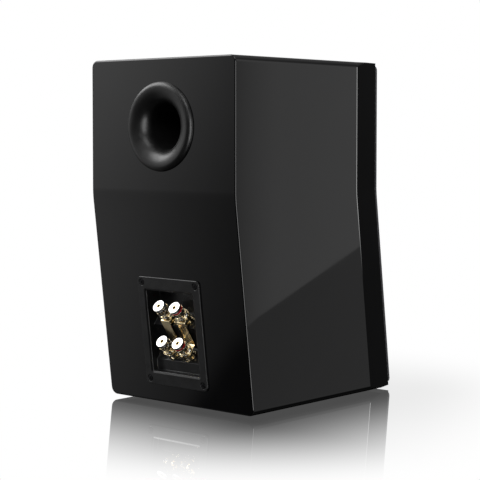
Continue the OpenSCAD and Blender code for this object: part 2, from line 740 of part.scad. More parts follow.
module mirrored_pair(path) {
  for (s = [-1, 1]) lead([for (p = smooth(path)) [p.x * s, p.y, p.z]], lead_r);
}
module input_wires() {
  color([0.1, 0.1, 0.1]) placed() { mirrored_pair(upper_lead); mirrored_pair(lower_lead); }
}
module driver_wires() {
  color([0.5, 0.08, 0.06]) placed() for (pair = [0, 1]) {
    lead([for (p = smooth(woofer_lead)) p + pair * [0, 4, 0]], lead_r);
    lead([for (p = smooth(tweeter_lead)) p - pair * [4, 0, 0]], lead_r);
  }
}

// ----------------------------------------------------------------- grille

cloth_t = 0.5;
grille_back = 0.3;
rail_w = 14;
grille_half = front_w / 2 - grille_inset;

module grille_block(trim, y0, y1, r) {
  intersection() {
    column(box_plan(grille_half - trim, front_y + y0, front_y + y1), 0, cab_h);
    outline_bar(grille_inset + trim, r, 2 * (grille_half + grille_inset));
  }
}

module grille_frame() {
  color([0.05, 0.05, 0.05]) difference() {
    placed() difference() {
      grille_block(cloth_t, -grille_t + cloth_t, -grille_back, 5);
      difference() {
        grille_block(rail_w, -grille_t - 5, 5, 6);
        translate([-cab_w / 2, front_y - 2 * lean_d, bend_h - 3]) cube([cab_w, 3 * lean_d, 10]);
      }
    }
    at_magnets() cylinder(r = magnet_r + gap, h = grille_back + 2.2, $fn = small);
  }
}

module grille_cloth() {
  color([0.12, 0.12, 0.13]) placed() difference() {
    grille_block(0, -grille_t, -grille_back, 5.5);
    grille_block(cloth_t, -grille_t + cloth_t, 5, 5);
  }
}

module grille_magnets() {
  color("silver") at_magnets() translate([0, 0, grille_back + 0.05])
    cylinder(r = magnet_r, h = 2, $fn = small);
}

// ------------------------------------------------------------------ nodes

cabinet_wrap();
front_baffle();
back_panel();
window_brace();
damping_pads();
rubber_feet();
baffle_magnets();
port_flare();
port_tube();
terminal_cup();
terminal_screws();
post_collars();
post_studs();
post_nuts();
jumper_negative();
jumper_positive();
clamp_washer(1, 1);  // clamp_washer_upper_neg
clamp_washer(-1, 1);  // clamp_washer_upper_pos
clamp_washer(1, 0);  // clamp_washer_lower_neg
clamp_washer(-1, 0);  // clamp_washer_lower_pos
knob_core(1, 1);  // knob_core_upper_neg
knob_core(-1, 1);  // knob_core_upper_pos
knob_core(1, 0);  // knob_core_lower_neg
knob_core(-1, 0);  // knob_core_lower_pos
knob_sleeve(1, 1);  // knob_sleeve_upper_neg
knob_sleeve(-1, 1);  // knob_sleeve_upper_pos
knob_sleeve(1, 0);  // knob_sleeve_lower_neg
knob_sleeve(-1, 0);  // knob_sleeve_lower_pos
knob_band(1, 1, [0.06, 0.06, 0.06]);  // knob_band_upper_neg
knob_band(-1, 1, [0.7, 0.05, 0.05]);  // knob_band_upper_pos
knob_band(1, 0, [0.06, 0.06, 0.06]);  // knob_band_lower_neg
knob_band(-1, 0, [0.7, 0.05, 0.05]);  // knob_band_lower_pos
woofer_basket();
woofer_cone();
woofer_dust_cap();
woofer_surround();
woofer_spider();
woofer_voice_coil();
woofer_magnet();
woofer_steel();
woofer_screws();
tweeter_faceplate();
tweeter_dome();
tweeter_surround();
tweeter_voice_coil();
tweeter_mesh();
tweeter_magnet();
tweeter_steel();
tweeter_rear_cup();
tweeter_screws();
crossover_board();
inductors();
capacitors();
resistors();
input_wires();
driver_wires();
grille_frame();
grille_cloth();
grille_magnets();
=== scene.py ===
"""Looks of the two-way bookshelf speaker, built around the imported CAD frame.

Row frame, metres: X across, -Y is the front with the grille, +Y the back with the port and terminals, Z up.
Turned and extruded shapes are in millimetres, in the frame of the face or post that they stand on.
"""

import json
import math

import bmesh
import bpy
import numpy as np
from mathutils import Matrix, Vector


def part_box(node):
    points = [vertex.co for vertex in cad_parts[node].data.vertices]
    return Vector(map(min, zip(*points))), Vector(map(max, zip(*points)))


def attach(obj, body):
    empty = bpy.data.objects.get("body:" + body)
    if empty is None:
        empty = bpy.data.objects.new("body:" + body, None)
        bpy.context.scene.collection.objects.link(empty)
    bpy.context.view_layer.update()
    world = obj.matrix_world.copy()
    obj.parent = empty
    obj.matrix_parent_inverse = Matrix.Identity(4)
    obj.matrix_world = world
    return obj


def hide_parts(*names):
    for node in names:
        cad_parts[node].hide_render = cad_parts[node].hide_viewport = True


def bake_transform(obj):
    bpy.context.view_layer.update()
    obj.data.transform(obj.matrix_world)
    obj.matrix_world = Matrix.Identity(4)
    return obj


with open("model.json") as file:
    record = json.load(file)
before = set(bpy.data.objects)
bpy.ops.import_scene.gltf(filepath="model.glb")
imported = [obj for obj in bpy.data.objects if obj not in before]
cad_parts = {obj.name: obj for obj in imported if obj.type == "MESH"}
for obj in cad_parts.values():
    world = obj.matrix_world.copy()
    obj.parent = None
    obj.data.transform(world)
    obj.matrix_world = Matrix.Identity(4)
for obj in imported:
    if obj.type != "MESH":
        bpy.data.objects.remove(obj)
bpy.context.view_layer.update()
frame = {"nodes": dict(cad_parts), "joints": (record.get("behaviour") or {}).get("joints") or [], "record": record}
scene = bpy.context.scene
MM = 0.001


def placed(name, data):
    obj = bpy.data.objects.new(name, data)
    scene.collection.objects.link(obj)
    return obj


# ---- camera

camera_data = bpy.data.cameras.new("camera")
camera = placed("camera", camera_data)
scene.camera = camera
camera.location = (-1.1044, 1.2565, 0.2998)
camera.rotation_euler = (math.radians(90 - 2.748), 0, math.radians(180 + 41.66))
camera_data.lens = 109.43
camera_data.sensor_width = 36
camera_data.shift_y = -0.075
scene.view_settings.view_transform = "Standard"

# ---- places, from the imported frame

joints = {j["name"]: j for j in frame["joints"]}
woofer_out = Vector(joints["woofer_excursion"]["axis"])
LEAN = math.atan2(woofer_out.z, -woofer_out.y)   # how far the lower half leans back from upright
UP = Vector((0, math.sin(LEAN), math.cos(LEAN)))   # up along the leaning faces

wrap_low, wrap_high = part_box("cabinet_wrap")
HALF_W = wrap_high.x
BASE_Z = wrap_low.z
HEIGHT = wrap_high.z - wrap_low.z
BACK_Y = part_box("back_panel")[1].y

# The cabinet's own dimensions, as in part.scad
SIDE_D = 0.205
CHAMFER_D = 0.052
CHAMFER_IN = 0.0125
BEND_H = 0.2295
BEND_R = 0.120
EDGE_R = 0.008
WALL = 0.018
BAFFLE = 0.025
SIDE_Y = BACK_Y - SIDE_D
FRONT_Y = SIDE_Y - CHAMFER_D
LEAN_D = BEND_H * math.tan(LEAN)
BEND_T = BEND_R * math.tan(LEAN / 2)
BEND_TOP = BEND_H + BEND_T
BEND_LOW = BEND_H - BEND_T * math.cos(LEAN)
CHAMFER_A = math.atan2(CHAMFER_IN, CHAMFER_D)


def lean(z):
    """How far a point at height z above the underside moves along Y, which is forward below the bend."""
    if z >= BEND_TOP:
        return 0.0
    if z <= BEND_LOW:
        return -(BEND_H - z) * math.tan(LEAN)
    return math.sqrt(BEND_R**2 - (BEND_TOP - z) ** 2) - BEND_R


def face_frame(origin, up, out):
    """Matrix of a face's own frame: x across, y up the face and z outward."""
    up, out = Vector(up), Vector(out)
    turn = Matrix((up.cross(out), up, out)).transposed().to_4x4()
    return Matrix.Translation(Vector(origin)) @ turn


LOWER_BACK = face_frame((0, BACK_Y - LEAN_D, BASE_Z), UP, (0, math.cos(LEAN), -math.sin(LEAN)))
UPPER_BACK = face_frame((0, BACK_Y, BASE_Z), (0, 0, 1), (0, 1, 0))
LOWER_FRONT = face_frame((0, FRONT_Y - LEAN_D, BASE_Z), UP, (0, -math.cos(LEAN), math.sin(LEAN)))
UPPER_FRONT = face_frame((0, FRONT_Y, BASE_Z), (0, 0, 1), (0, -1, 0))


def shift(x, y, z=0.0):
    """A move within a face's frame, in mm."""
    return Matrix.Translation((x * MM, y * MM, z * MM))


# ---- materials


class Nodes:
    """A short way to write the node tree of a material or the world; a bare one has no shader yet."""

    def __init__(self, name, owners=bpy.data.materials, bare=False, space="Object"):
        self.owner = owners.new(name)
        self.owner.use_nodes = True
        self.tree = self.owner.node_tree
        if bare:
            self.tree.nodes.clear()
        self.shader = self.tree.nodes.get("Principled BSDF")
        self.place = self.add("TexCoord").outputs[space]     # Object space is the row frame, in metres

    def fill(self, socket, value):
        if isinstance(value, bpy.types.NodeSocket):
            self.tree.links.new(value, socket)
        else:
            socket.default_value = value

    def add(self, kind, inputs=(), **settings):
        node = self.tree.nodes.new("ShaderNode" + kind)
        for key, value in settings.items():
            setattr(node, key, value)
        for key, value in dict(inputs).items():
            self.fill(node.inputs[key], value)
        return node

    def noise(self, size, detail=3.0, stretch=(1, 1, 1)):
        """Noise whose features are about size mm across, drawn out along an axis by stretch."""
        moved = self.add("Mapping", {"Vector": self.place, "Scale": stretch}).outputs[0]
        inputs = {"Vector": moved, "Scale": 1 / (size * MM), "Detail": detail}
        return self.add("TexNoise", inputs).outputs["Fac"]

    def math(self, operation, *values):
        return self.add("Math", dict(enumerate(values)), operation=operation).outputs["Value"]

    def vector(self, operation, *values):
        outputs = self.add("VectorMath", dict(enumerate(values)), operation=operation).outputs
        return outputs["Value" if operation == "LENGTH" else "Vector"]

    def times(self, product, *values):
        for value in values:
            product = self.math("MULTIPLY", product, value)
        return product

    def split(self, vector):
        return self.add("SeparateXYZ", {0: vector}).outputs

    def ramp(self, factor, low, high, tones):
        node = self.add("ValToRGB", {"Fac": factor})
        first, last = node.color_ramp.elements
        first.position, last.position = low, high
        first.color, last.color = (*tones[0], 1), (*tones[1], 1)
        return node.outputs["Color"]

    def spread(self, factor, to_low, to_high, low=0.3, high=0.7, **settings):
        return self.add("MapRange", {"Value": factor, "From Min": low, "From Max": high,
                                     "To Min": to_low, "To Max": to_high}, **settings).outputs["Result"]

    def step(self, value, x0, x1, y0=0.0, y1=1.0):
        """y0 up to x0 and y1 from x1 on, smooth between them."""
        return self.spread(value, y0, y1, x0, x1, interpolation_type="SMOOTHSTEP")

    def bump(self, height, strength, distance):
        """Bumps of that distance in mm."""
        inputs = {"Height": height, "Strength": strength, "Distance": distance * MM}
        return self.add("Bump", inputs).outputs[0]

    def put(self, **sockets):
        """Sets the shader's sockets; an underscore stands for a space."""
        for key, value in sockets.items():
            self.fill(self.shader.inputs[key.replace("_", " ")], value)
        return self.owner

    def emit(self, strength):
        return self.add("Emission", {"Strength": strength}).outputs[0]

    def mix(self, share, a, b):
        return self.add("MixShader", {0: share, 1: a, 2: b}).outputs[0]

    def surface(self, shader, kind="Material"):
        self.add("Output" + kind, {0: shader})
        return self.owner


def cast(name, tones, rough, grain, bump=0.15, depth=0.05, patch=20, extra=()):
    """A moulded, cast or painted surface: soft patches of tone, fine grain and uneven roughness. In mm."""
    n = Nodes(name)
    patches = n.ramp(n.noise(patch), 0.35, 0.65, tones)
    return n.put(Base_Color=patches, Roughness=n.spread(n.noise(patch * 0.4), *rough),
                 Normal=n.bump(n.noise(grain, 4), bump, depth), **dict(extra))


def brushed(name, tones, rough, stretch, bump=0.1):
    """Metal with fine tool marks drawn out along one axis."""
    n = Nodes(name)
    marks = n.noise(0.4, 2, stretch)
    tone = n.ramp(n.noise(4), 0.3, 0.7, tones)
    return n.put(Base_Color=tone, Metallic=1.0, Roughness=n.spread(marks, *rough),
                 Normal=n.bump(marks, bump, 0.02))


def woven(name, tones, pitch, rough, depth, extra=()):
    """Plain weave: two sets of threads that pass over and under each other."""
    n = Nodes(name)
    x, y, z = n.split(n.place)
    wave = math.pi / (pitch * MM)
    along = n.math("SINE", n.times(n.math("ADD", x, y), wave))
    threads = n.math("ADD", n.times(along, n.math("SINE", n.times(z, wave)), 0.5), 0.5)
    fuzz = n.math("ADD", threads, n.times(n.noise(pitch * 0.4, 2), 0.5))
    return n.put(Base_Color=n.ramp(fuzz, 0.35, 1.1, tones), Roughness=n.spread(fuzz, *rough),
                 Normal=n.bump(fuzz, 0.8, depth), **dict(extra))


def wound(name, tones, pitch):
    """Enamelled wire in close turns up z."""
    n = Nodes(name)
    turns = n.math("SINE", n.times(n.split(n.place)["Z"], 2 * math.pi / (pitch * MM)))
    return n.put(Base_Color=n.ramp(n.math("ADD", turns, n.noise(3)), 0.0, 1.0, tones), Metallic=1.0,
                 Roughness=n.spread(n.noise(2), 0.25, 0.4), Normal=n.bump(turns, 0.7, 0.2))


def lacquer(name, tones):
    """Black polyester lacquer: mirror gloss, a trace of orange peel and the odd dull patch from handling."""
    n = Nodes(name)
    return n.put(Base_Color=n.ramp(n.noise(60), 0.3, 0.7, tones), IOR=1.5,
                 Roughness=n.spread(n.noise(50, 5), 0.022, 0.035), Normal=n.bump(n.noise(9, 1), 0.006, 0.05))


def clear(name, tones):
    n = Nodes(name)
    return n.put(Base_Color=n.ramp(n.noise(3), 0.3, 0.7, tones), IOR=1.49, Transmission_Weight=1.0,
                 Roughness=n.spread(n.noise(2), 0.02, 0.05))


def grey(*levels):
    return [(level,) * 3 for level in levels]


BLACK = ((0.004, 0.004, 0.0042), (0.009, 0.009, 0.0095))
looks = {
    "lacquered_wood": (lacquer, ((0.0012, 0.0012, 0.0014), (0.0022, 0.0022, 0.0025))),
    "raw_wood": (cast, ((0.42, 0.29, 0.17), (0.55, 0.40, 0.25)), (0.7, 0.9), 0.6, 0.4),
    "damping_fibre": (cast, ((0.60, 0.60, 0.57), (0.82, 0.82, 0.79)), (0.9, 1.0), 1.5, 0.9, 0.8, 6),
    "rubber": (cast, grey(0.008, 0.016), (0.45, 0.6), 0.3, 0.2),
    "magnet_ferrite": (cast, ((0.03, 0.03, 0.032), (0.06, 0.06, 0.063)), (0.5, 0.7), 0.5, 0.4),
    "plated_steel": (brushed, ((0.50, 0.50, 0.52), (0.62, 0.62, 0.64)), (0.25, 0.4), (1, 1, 8)),
    "port_plastic": (cast, grey(0.005, 0.008), (0.32, 0.4), 0.25, 0.12),
    "cup_plastic": (cast, BLACK, (0.27, 0.34), 0.35, 0.05, 0.015, 10),
    "black_screws": (cast, ((0.006, 0.006, 0.007), (0.014, 0.014, 0.015)), (0.18, 0.28), 0.2, 0.2, 0.02, 2,
                     {"Metallic": 0.6}),
    "clear_plastic": (clear, ((0.86, 0.85, 0.80), (0.96, 0.96, 0.94))),
    "gold_metal": (brushed, ((0.90, 0.72, 0.42), (0.98, 0.84, 0.56)), (0.12, 0.2), (1, 6, 6), 0.03),
    "silver_metal": (brushed, ((0.88, 0.87, 0.85), (0.96, 0.95, 0.93)), (0.14, 0.24), (4, 1, 1)),
    "black_band": (cast, BLACK, (0.12, 0.2), 0.3, 0.05, 0.02, 3),
    "red_band": (cast, ((0.52, 0.006, 0.008), (0.66, 0.012, 0.014)), (0.15, 0.25), 0.3, 0.05, 0.02, 3),
    "basket_metal": (cast, grey(0.010, 0.018), (0.4, 0.5), 0.35, 0.35),
    "cone_material": (woven, ((0.008, 0.008, 0.009), (0.030, 0.030, 0.032)), 1.6, (0.3, 0.45), 0.1),
    "treated_cloth": (woven, ((0.22, 0.14, 0.04), (0.42, 0.30, 0.12)), 0.7, (0.7, 0.9), 0.1),
    "copper": (wound, ((0.45, 0.16, 0.06), (0.80, 0.38, 0.18)), 0.9),
    "dome_aluminium": (brushed, ((0.62, 0.62, 0.65), (0.75, 0.75, 0.78)), (0.22, 0.32), (1, 1, 1)),
    "mesh_steel": (cast, grey(0.010, 0.020), (0.35, 0.45), 0.3, 0.1, 0.02, 4, {"Metallic": 0.5}),
    "board": (cast, ((0.010, 0.07, 0.03), (0.02, 0.11, 0.05)), (0.25, 0.4), 0.5, 0.1),
    "capacitor_film": (cast, ((0.55, 0.36, 0.03), (0.72, 0.52, 0.07)), (0.2, 0.35), 1, 0.1),
    "resistor_ceramic": (cast, ((0.66, 0.64, 0.58), (0.82, 0.80, 0.74)), (0.8, 0.95), 0.4, 0.4),
    "wire_black": (cast, BLACK, (0.35, 0.5), 0.5, 0.1),
    "wire_red": (cast, ((0.30, 0.015, 0.01), (0.42, 0.025, 0.018)), (0.35, 0.5), 0.5, 0.1),
    "grille_plastic": (cast, BLACK, (0.45, 0.6), 0.3, 0.25),
    "grille_fabric": (woven, ((0.006, 0.006, 0.007), (0.040, 0.039, 0.045)), 0.75, (0.8, 0.95), 0.15,
                      {"Sheen Weight": 0.25, "Sheen Roughness": 0.5}),
}
materials = {name: make(name, *values) for name, (make, *values) in looks.items()}
assert {m["slot"] for m in frame["record"]["materials"]} <= set(materials)

# ---- mesh tools


def arc(cx, cy, r, a0, a1, n):
    """n + 1 points of an arc, from angle a0 to a1 in degrees."""
    turns = [math.radians(a0 + (a1 - a0) * i / n) for i in range(n + 1)]
    return [(cx + r * math.cos(a), cy + r * math.sin(a)) for a in turns]


def rectangle(x0, y0, x1, y1):
    return [(x0, y0), (x1, y0), (x1, y1), (x0, y1)]


def eased(points, radius, closed=False, n=4):
    """The same outline, in mm, with each corner rounded to about that radius, or less on short sides."""
    p = [Vector([c * MM for c in q]) for q in points]
    out = []
    for i, corner in enumerate(p):
        before, after = p[i - 1] - corner, p[(i + 1) % len(p)] - corner
        turn = math.pi - before.angle(after, math.pi)
        if turn < math.radians(12) or not closed and i in (0, len(p) - 1):
            out.append(corner)
            continue
        cut = min(radius * MM * math.tan(turn / 2), before.length * 0.45, after.length * 0.45)
        a, b = corner + before.normalized() * cut, corner + after.normalized() * cut
        for k in range(n + 1):
            t = k / n
            out.append((1 - t) ** 2 * a + 2 * t * (1 - t) * corner + t * t * b)
    return [tuple(c / MM for c in q) for q in out]


def clean(bm):
    bmesh.ops.remove_doubles(bm, verts=bm.verts, dist=1e-6)
    bmesh.ops.dissolve_degenerate(bm, edges=bm.edges, dist=1e-7)
    bmesh.ops.recalc_face_normals(bm, faces=bm.faces)


def to_mesh(bm, name="part"):
    mesh = bpy.data.meshes.new(name)
    bm.to_mesh(mesh)
    bm.free()
    return mesh


def piece(name, bm, body, slot, replaces, sharp=32, weighted=True):
    """Finishes a piece: its mesh in the row frame, its material, and the body that it rides on.

    Shading is smooth, but for edges sharper than that many degrees.
    """
    for face in bm.faces:
        face.smooth = True
    for edge in bm.edges:
        edge.smooth = len(edge.link_faces) == 2 and edge.calc_face_angle(0) < math.radians(sharp)
    obj = placed(name, to_mesh(bm, name))
    obj.data.materials.append(materials[slot])
    if weighted:
        obj.modifiers.new("even_normals", "WEIGHTED_NORMAL").keep_sharp = True
    if body:
        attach(obj, body)
    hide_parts(*replaces)
    return obj


def bridge(bm, rings, closed=False):
    """Faces between each ring of vertices and the next. A ring may be a single point."""
    for one, two in zip(rings, rings[1:] + rings[:1] if closed else rings[1:]):
        for k in range(max(len(one), len(two))):
            a, b = one[k % len(one)], one[(k + 1) % len(one)]
            c, d = two[(k + 1) % len(two)], two[k % len(two)]
            corners = list(dict.fromkeys((a, b, c, d)))
            if len(corners) > 2:
                bm.faces.new(corners)


def rungs(bm, ring):
    """Fills a ring that runs up one side and down the other."""
    for k in range(len(ring) // 2 - 1):
        bm.faces.new((ring[k], ring[k + 1], ring[-2 - k], ring[-1 - k]))


def lathe(bm, profile, matrix, steps=96, closed=True, flute=None):
    """Turns a profile of (radius, height) points round z, in mm. flute(r, height, angle) may scale r."""
    rings = []
    for r, h in profile:
        ring = []
        for k in range(steps if r > 1e-4 else 1):
            a = 2 * math.pi * k / steps
            q = r * MM * (flute(r, h, a) if flute else 1)
            ring.append(bm.verts.new(matrix @ Vector((q * math.cos(a), q * math.sin(a), h * MM))))
        rings.append(ring)
    bridge(bm, rings, closed)


def lathed(profile, matrix, **options):
    bm = bmesh.new()
    lathe(bm, profile, matrix, **options)
    clean(bm)
    return bm


def disc(r, low, high, matrix, steps=64):
    return lathed([(0, low), (r, low), (r, high), (0, high)], matrix, steps=steps, closed=False)


def layered(levels, matrix):
    """A solid through levels of (outline, z), with outlines of (x, y), all in mm."""
    bm = bmesh.new()
    rings = [[bm.verts.new(matrix @ Vector((x * MM, y * MM, z * MM))) for x, y in outline]
             for outline, z in levels]
    bridge(bm, rings)
    bm.faces.new(rings[0][::-1])
    bm.faces.new(rings[-1])
    return bm


def extruded(outline, low, high, matrix):
    return layered([(outline, low), (outline, high)], matrix)


def cut(bm, cutters):
    """bm less each of the cutters, which are bmeshes too."""
    shapes = []
    for shape in (bm, *cutters):
        clean(shape)
        shapes.append(placed("cutter", to_mesh(shape)))
    base, *tools = shapes
    for tool in tools:
        modifier = base.modifiers.new("cut", "BOOLEAN")
        modifier.operation, modifier.solver, modifier.object = "DIFFERENCE", "EXACT", tool
    bpy.context.view_layer.update()
    result = bmesh.new()
    result.from_mesh(base.evaluated_get(bpy.context.evaluated_depsgraph_get()).data)
    for obj in shapes:
        bpy.data.objects.remove(obj)
    return result


def bevelled(obj, width, segments=3, angle=30):
    """Round-overs on a piece's sharp edges, to catch the light; width in mm."""
    bevel = obj.modifiers.new("round_over", "BEVEL")
    bevel.width, bevel.segments, bevel.limit_method = width * MM, segments, "ANGLE"
    bevel.angle_limit = math.radians(angle)
    bevel.use_clamp_overlap = False
    bevel.miter_outer = "MITER_ARC"
    obj.modifiers.move(obj.modifiers.find("round_over"), 0)


# ---- cabinet

CREASE_R = 6 * MM     # rounding of the crease between a side and its chamfer
BACK_ROUND = 1.8 * MM     # round-over of the back's edges
FRONT_ROUND = 1.2 * MM
bend_rows = [BEND_TOP - BEND_R * math.sin(LEAN * (1 - i / 14)) for i in range(15)]


def half_at(y):
    """Half the cabinet's width at depth y, with the crease rounded."""
    t = CREASE_R * math.tan(CHAMFER_A / 2)
    past = SIDE_Y - y
    if past <= -t:
        return HALF_W
    if past < t * math.cos(CHAMFER_A):
        return HALF_W - CREASE_R + math.sqrt(CREASE_R**2 - (past + t) ** 2)
    return HALF_W - past * math.tan(CHAMFER_A)


def outline_at(y, inset):
    """The cabinet's outline at depth y as (x, z) points: up one side and down the other."""
    half, r, cx = half_at(y) - inset, EDGE_R - inset, HALF_W - EDGE_R
    turn = math.asin(max(0.0, min(1.0, (half - cx) / r)))
    corner = [(min(half, cx + r * math.sin(turn * k / 10)), r * math.cos(turn * k / 10)) for k in range(11)]
    low = [(x, EDGE_R - z) for x, z in corner]
    high = [(x, HEIGHT - EDGE_R + z) for x, z in reversed(corner)]
    right = low + [(half, z) for z in bend_rows] + high
    return right + [(-x, z) for x, z in reversed(right)]


def bent_ring(bm, outline, y):
    """Vertices of an (x, z) outline at depth y, along the cabinet's bend."""
    return [bm.verts.new((x, y + lean(z), BASE_Z + z)) for x, z in outline]


def loft(stations, hollow=False):
    """A slice of the cabinet through (depth, inset) stations, solid or with the walls' hollow."""
    bm = bmesh.new()
    outlines = [(outline_at(y, inset), y) for y, inset in stations]
    if hollow:
        inner = HALF_W - WALL
        outlines += [([(math.copysign(inner, x), min(max(z, WALL), HEIGHT - WALL)) for x, z in points], y)
                     for points, y in reversed(outlines)]
    rings = [bent_ring(bm, points, y) for points, y in outlines]
    if not hollow:
        rungs(bm, rings[0])
        rungs(bm, rings[-1])
    bridge(bm, rings, closed=hollow)
    clean(bm)
    return bm


def depths(y0, y1, radius, n=6):
    """Stations from a face at y0, rounded to that radius, into the wood to y1."""
    step = 1 if y1 > y0 else -1
    near = [radius * (1 - math.cos(math.radians(90 * k / n))) for k in range(n + 1)]
    return [(y0 + step * d, radius - math.sqrt(radius**2 - (radius - d) ** 2)) for d in near] + [(y1, 0.0)]


crease = [SIDE_Y + CREASE_R * math.tan(CHAMFER_A / 2) * t for t in (1, 0.6, 0.2, -0.2, -0.6, -0.97)]
piece("cabinet_shell",
      loft([(BACK_Y - WALL, 0)] + [(y, 0) for y in crease] + [(FRONT_Y + BAFFLE, 0)], hollow=True),
      "cabinet", "lacquered_wood", ["cabinet_wrap"])

PAST = 18     # how far the cutters run past a face, in mm as all that follows
FIT = 0.1
flare_low, flare_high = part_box("port_flare")
PORT = UPPER_BACK @ shift(0, ((flare_low.z + flare_high.z) / 2 - BASE_Z) / MM)
cup_hole = extruded(rectangle(-38.5, 31.4, 38.5, 130), -54, PAST, LOWER_BACK)
back = cut(loft(depths(BACK_Y, BACK_Y - WALL, BACK_ROUND)), [disc(45.8, -36, PAST, PORT, 128), cup_hole])
piece("back_panel_shell", back, "cabinet", "lacquered_wood", ["back_panel"])

WOOFER = LOWER_FRONT @ shift(0, 112)
TWEETER = UPPER_FRONT @ shift(0, 303)
FLANGE_T = 5     # thickness of both drivers' flanges
MAGNET_X = 85
MAGNET_R = 5
MAGNET_SKIN = 1.5


def ring_of(place, count, radius, turn):
    """Frames spaced evenly round a circle, each with x pointing outward."""
    return [place @ Matrix.Rotation(math.radians(turn + 360 * k / count), 4, "Z") @ shift(radius, 0)
            for k in range(count)]


woofer_screws = ring_of(WOOFER, 6, 79.3, 30)
tweeter_screws = ring_of(TWEETER, 4, 46, 45)
magnets = [face @ shift(side * MAGNET_X, v) for side in (-1, 1)
           for face, v in ((LOWER_FRONT, 14), (LOWER_FRONT, 205), (UPPER_FRONT, 362))]
baffle = cut(loft(depths(FRONT_Y, FRONT_Y + BAFFLE, FRONT_ROUND)), [
    disc(84 + FIT, -FLANGE_T, PAST, WOOFER, 128), disc(76, -75, PAST, WOOFER, 128),
    disc(52 + FIT, -FLANGE_T, PAST, TWEETER, 128), disc(40, -50, PAST, TWEETER, 128),
    *[disc(MAGNET_R + FIT, -50, -MAGNET_SKIN, place, 32) for place in magnets],
    *[disc(2, -20, 0, place, 16) for place in woofer_screws],
    *[disc(1.8, -18, 0, place, 16) for place in tweeter_screws]])
piece("front_baffle_shell", baffle, "cabinet", "lacquered_wood", ["front_baffle"])

# ---- port

FLANGE_R = 48.3
PROUD = 5
BORE_R = 24.5
LIP_R = 5.8
LIP_X = FLANGE_R - LIP_R
FLARE_R = LIP_X - BORE_R
TUBE_WALL = 2.9
TUBE_TOP = PROUD - FLARE_R - 4
lip = arc(LIP_X, PROUD - LIP_R, LIP_R, math.degrees(math.asin((LIP_R - PROUD) / LIP_R)), 90, 14)
throat = arc(LIP_X, PROUD - FLARE_R, FLARE_R, 93, 180, 30)
spigot = [(BORE_R, TUBE_TOP), (BORE_R + TUBE_WALL + 2, TUBE_TOP), (FLANGE_R - 7, -9), (FLANGE_R - 2.8, -6),
          (FLANGE_R - 2.8, 0)]
piece("port_flare_ring", lathed(lip + throat + spigot, PORT, steps=160), "cabinet", "port_plastic",
      ["port_flare"])

INNER_FLARE = 9
port_end = INNER_FLARE - 130
tube = [(BORE_R + TUBE_WALL, TUBE_TOP - FIT), (BORE_R, TUBE_TOP - FIT),
        *arc(BORE_R + INNER_FLARE, port_end, INNER_FLARE, 180, 270, 12),
        *arc(BORE_R + INNER_FLARE, port_end, INNER_FLARE - TUBE_WALL, 265, 180, 12)]
piece("port_duct", lathed(tube, PORT), "cabinet", "port_plastic", ["port_tube"])

# ---- terminal cup

PLATE_W, PLATE_H, PLATE_T = 92.5, 121.3, 2
PLATE_V = 20.1     # its foot, up the back
RECESS_W, RECESS_D = 70, 20
RECESS_LOW, RECESS_TOP = 35.1, 126.3
TIP_N = -6.8     # the shelves' front edges: their depth, and their heights up the back
TIP_V = (47, 86.5)
CUP_WALL = 2.5
SCREW_IN = 6.3
valley = RECESS_D + TIP_N     # the shelves slope at 45 degrees, so this is their rise as well
plate_screws = [(x * (PLATE_W / 2 - SCREW_IN), v) for x in (-1, 1)
                for v in (PLATE_V + SCREW_IN, PLATE_V + PLATE_H - SCREW_IN)]


def rounded_box(w, h, r, y0, n):
    return (arc(w / 2 - r, y0 + r, r, -90, 0, n) + arc(w / 2 - r, y0 + h - r, r, 0, 90, n)
            + arc(-w / 2 + r, y0 + h - r, r, 90, 180, n) + arc(-w / 2 + r, y0 + r, r, 180, 270, n))


def cup_profile(dn, dv, mouth_low, mouth_top, mouth_n, floor_n):
    """Outline of the recess in (v up the back, n outward): a mouth, a back wall and two shelves."""
    return [(mouth_low, mouth_n), (mouth_top, mouth_n), (mouth_top, -RECESS_D + dn),
            (TIP_V[1] + valley + dv, -RECESS_D + dn), (TIP_V[1] + dv, TIP_N + dn),
            (TIP_V[0] + valley + dv, -RECESS_D + dn), (TIP_V[0] + dv, TIP_N + dn), (mouth_low, floor_n)]


# The back's frame turned so that a prism of a (v, n) outline runs along x
SIDEWAYS = LOWER_BACK @ Matrix(((0, 0, 1, 0), (1, 0, 0, 0), (0, 1, 0, 0), (0, 0, 0, 1)))
box_outline = cup_profile(-3.66, -0.58, RECESS_LOW - CUP_WALL, RECESS_TOP + CUP_WALL, 1, TIP_N - 3.66)
hollow_outline = cup_profile(0, 0, RECESS_LOW, RECESS_TOP, 4, TIP_N)
cup_box = cut(extruded(box_outline, -RECESS_W / 2 - CUP_WALL, RECESS_W / 2 + CUP_WALL, SIDEWAYS),
              [extruded(hollow_outline, -RECESS_W / 2, RECESS_W / 2, SIDEWAYS)])
bevelled(piece("terminal_cup_box", cup_box, "cabinet", "cup_plastic", ["terminal_cup"]), 0.5)

MOUTH_EASE = 2.2     # bevel round the recess's mouth
plate = layered([(rounded_box(PLATE_W - 2 * inset, PLATE_H - 2 * inset, r, PLATE_V + inset, 10), z)
                 for inset, r, z in ((0, 5, 0), (0, 5, PLATE_T - 0.6), (0.18, 4.8, PLATE_T - 0.18),
                                     (0.6, 4.4, PLATE_T))], LOWER_BACK)
mouth = layered([(rounded_box(RECESS_W + 2 * grow, RECESS_TOP - RECESS_LOW + 2 * grow, 0.6 + grow,
                              RECESS_LOW - grow, 5), z)
                 for grow, z in ((0, -1), (0, PLATE_T - 1.2), (MOUTH_EASE, PLATE_T + 0.02), (MOUTH_EASE, 4))],
                LOWER_BACK)
sink = [(0, -1), (2.1, -1), (2.1, 0.6), (3.3, 0.6), (3.9, PLATE_T + 0.05), (3.9, 4), (0, 4)]
sinks = [lathed(sink, LOWER_BACK @ shift(x, v), steps=48, closed=False) for x, v in plate_screws]
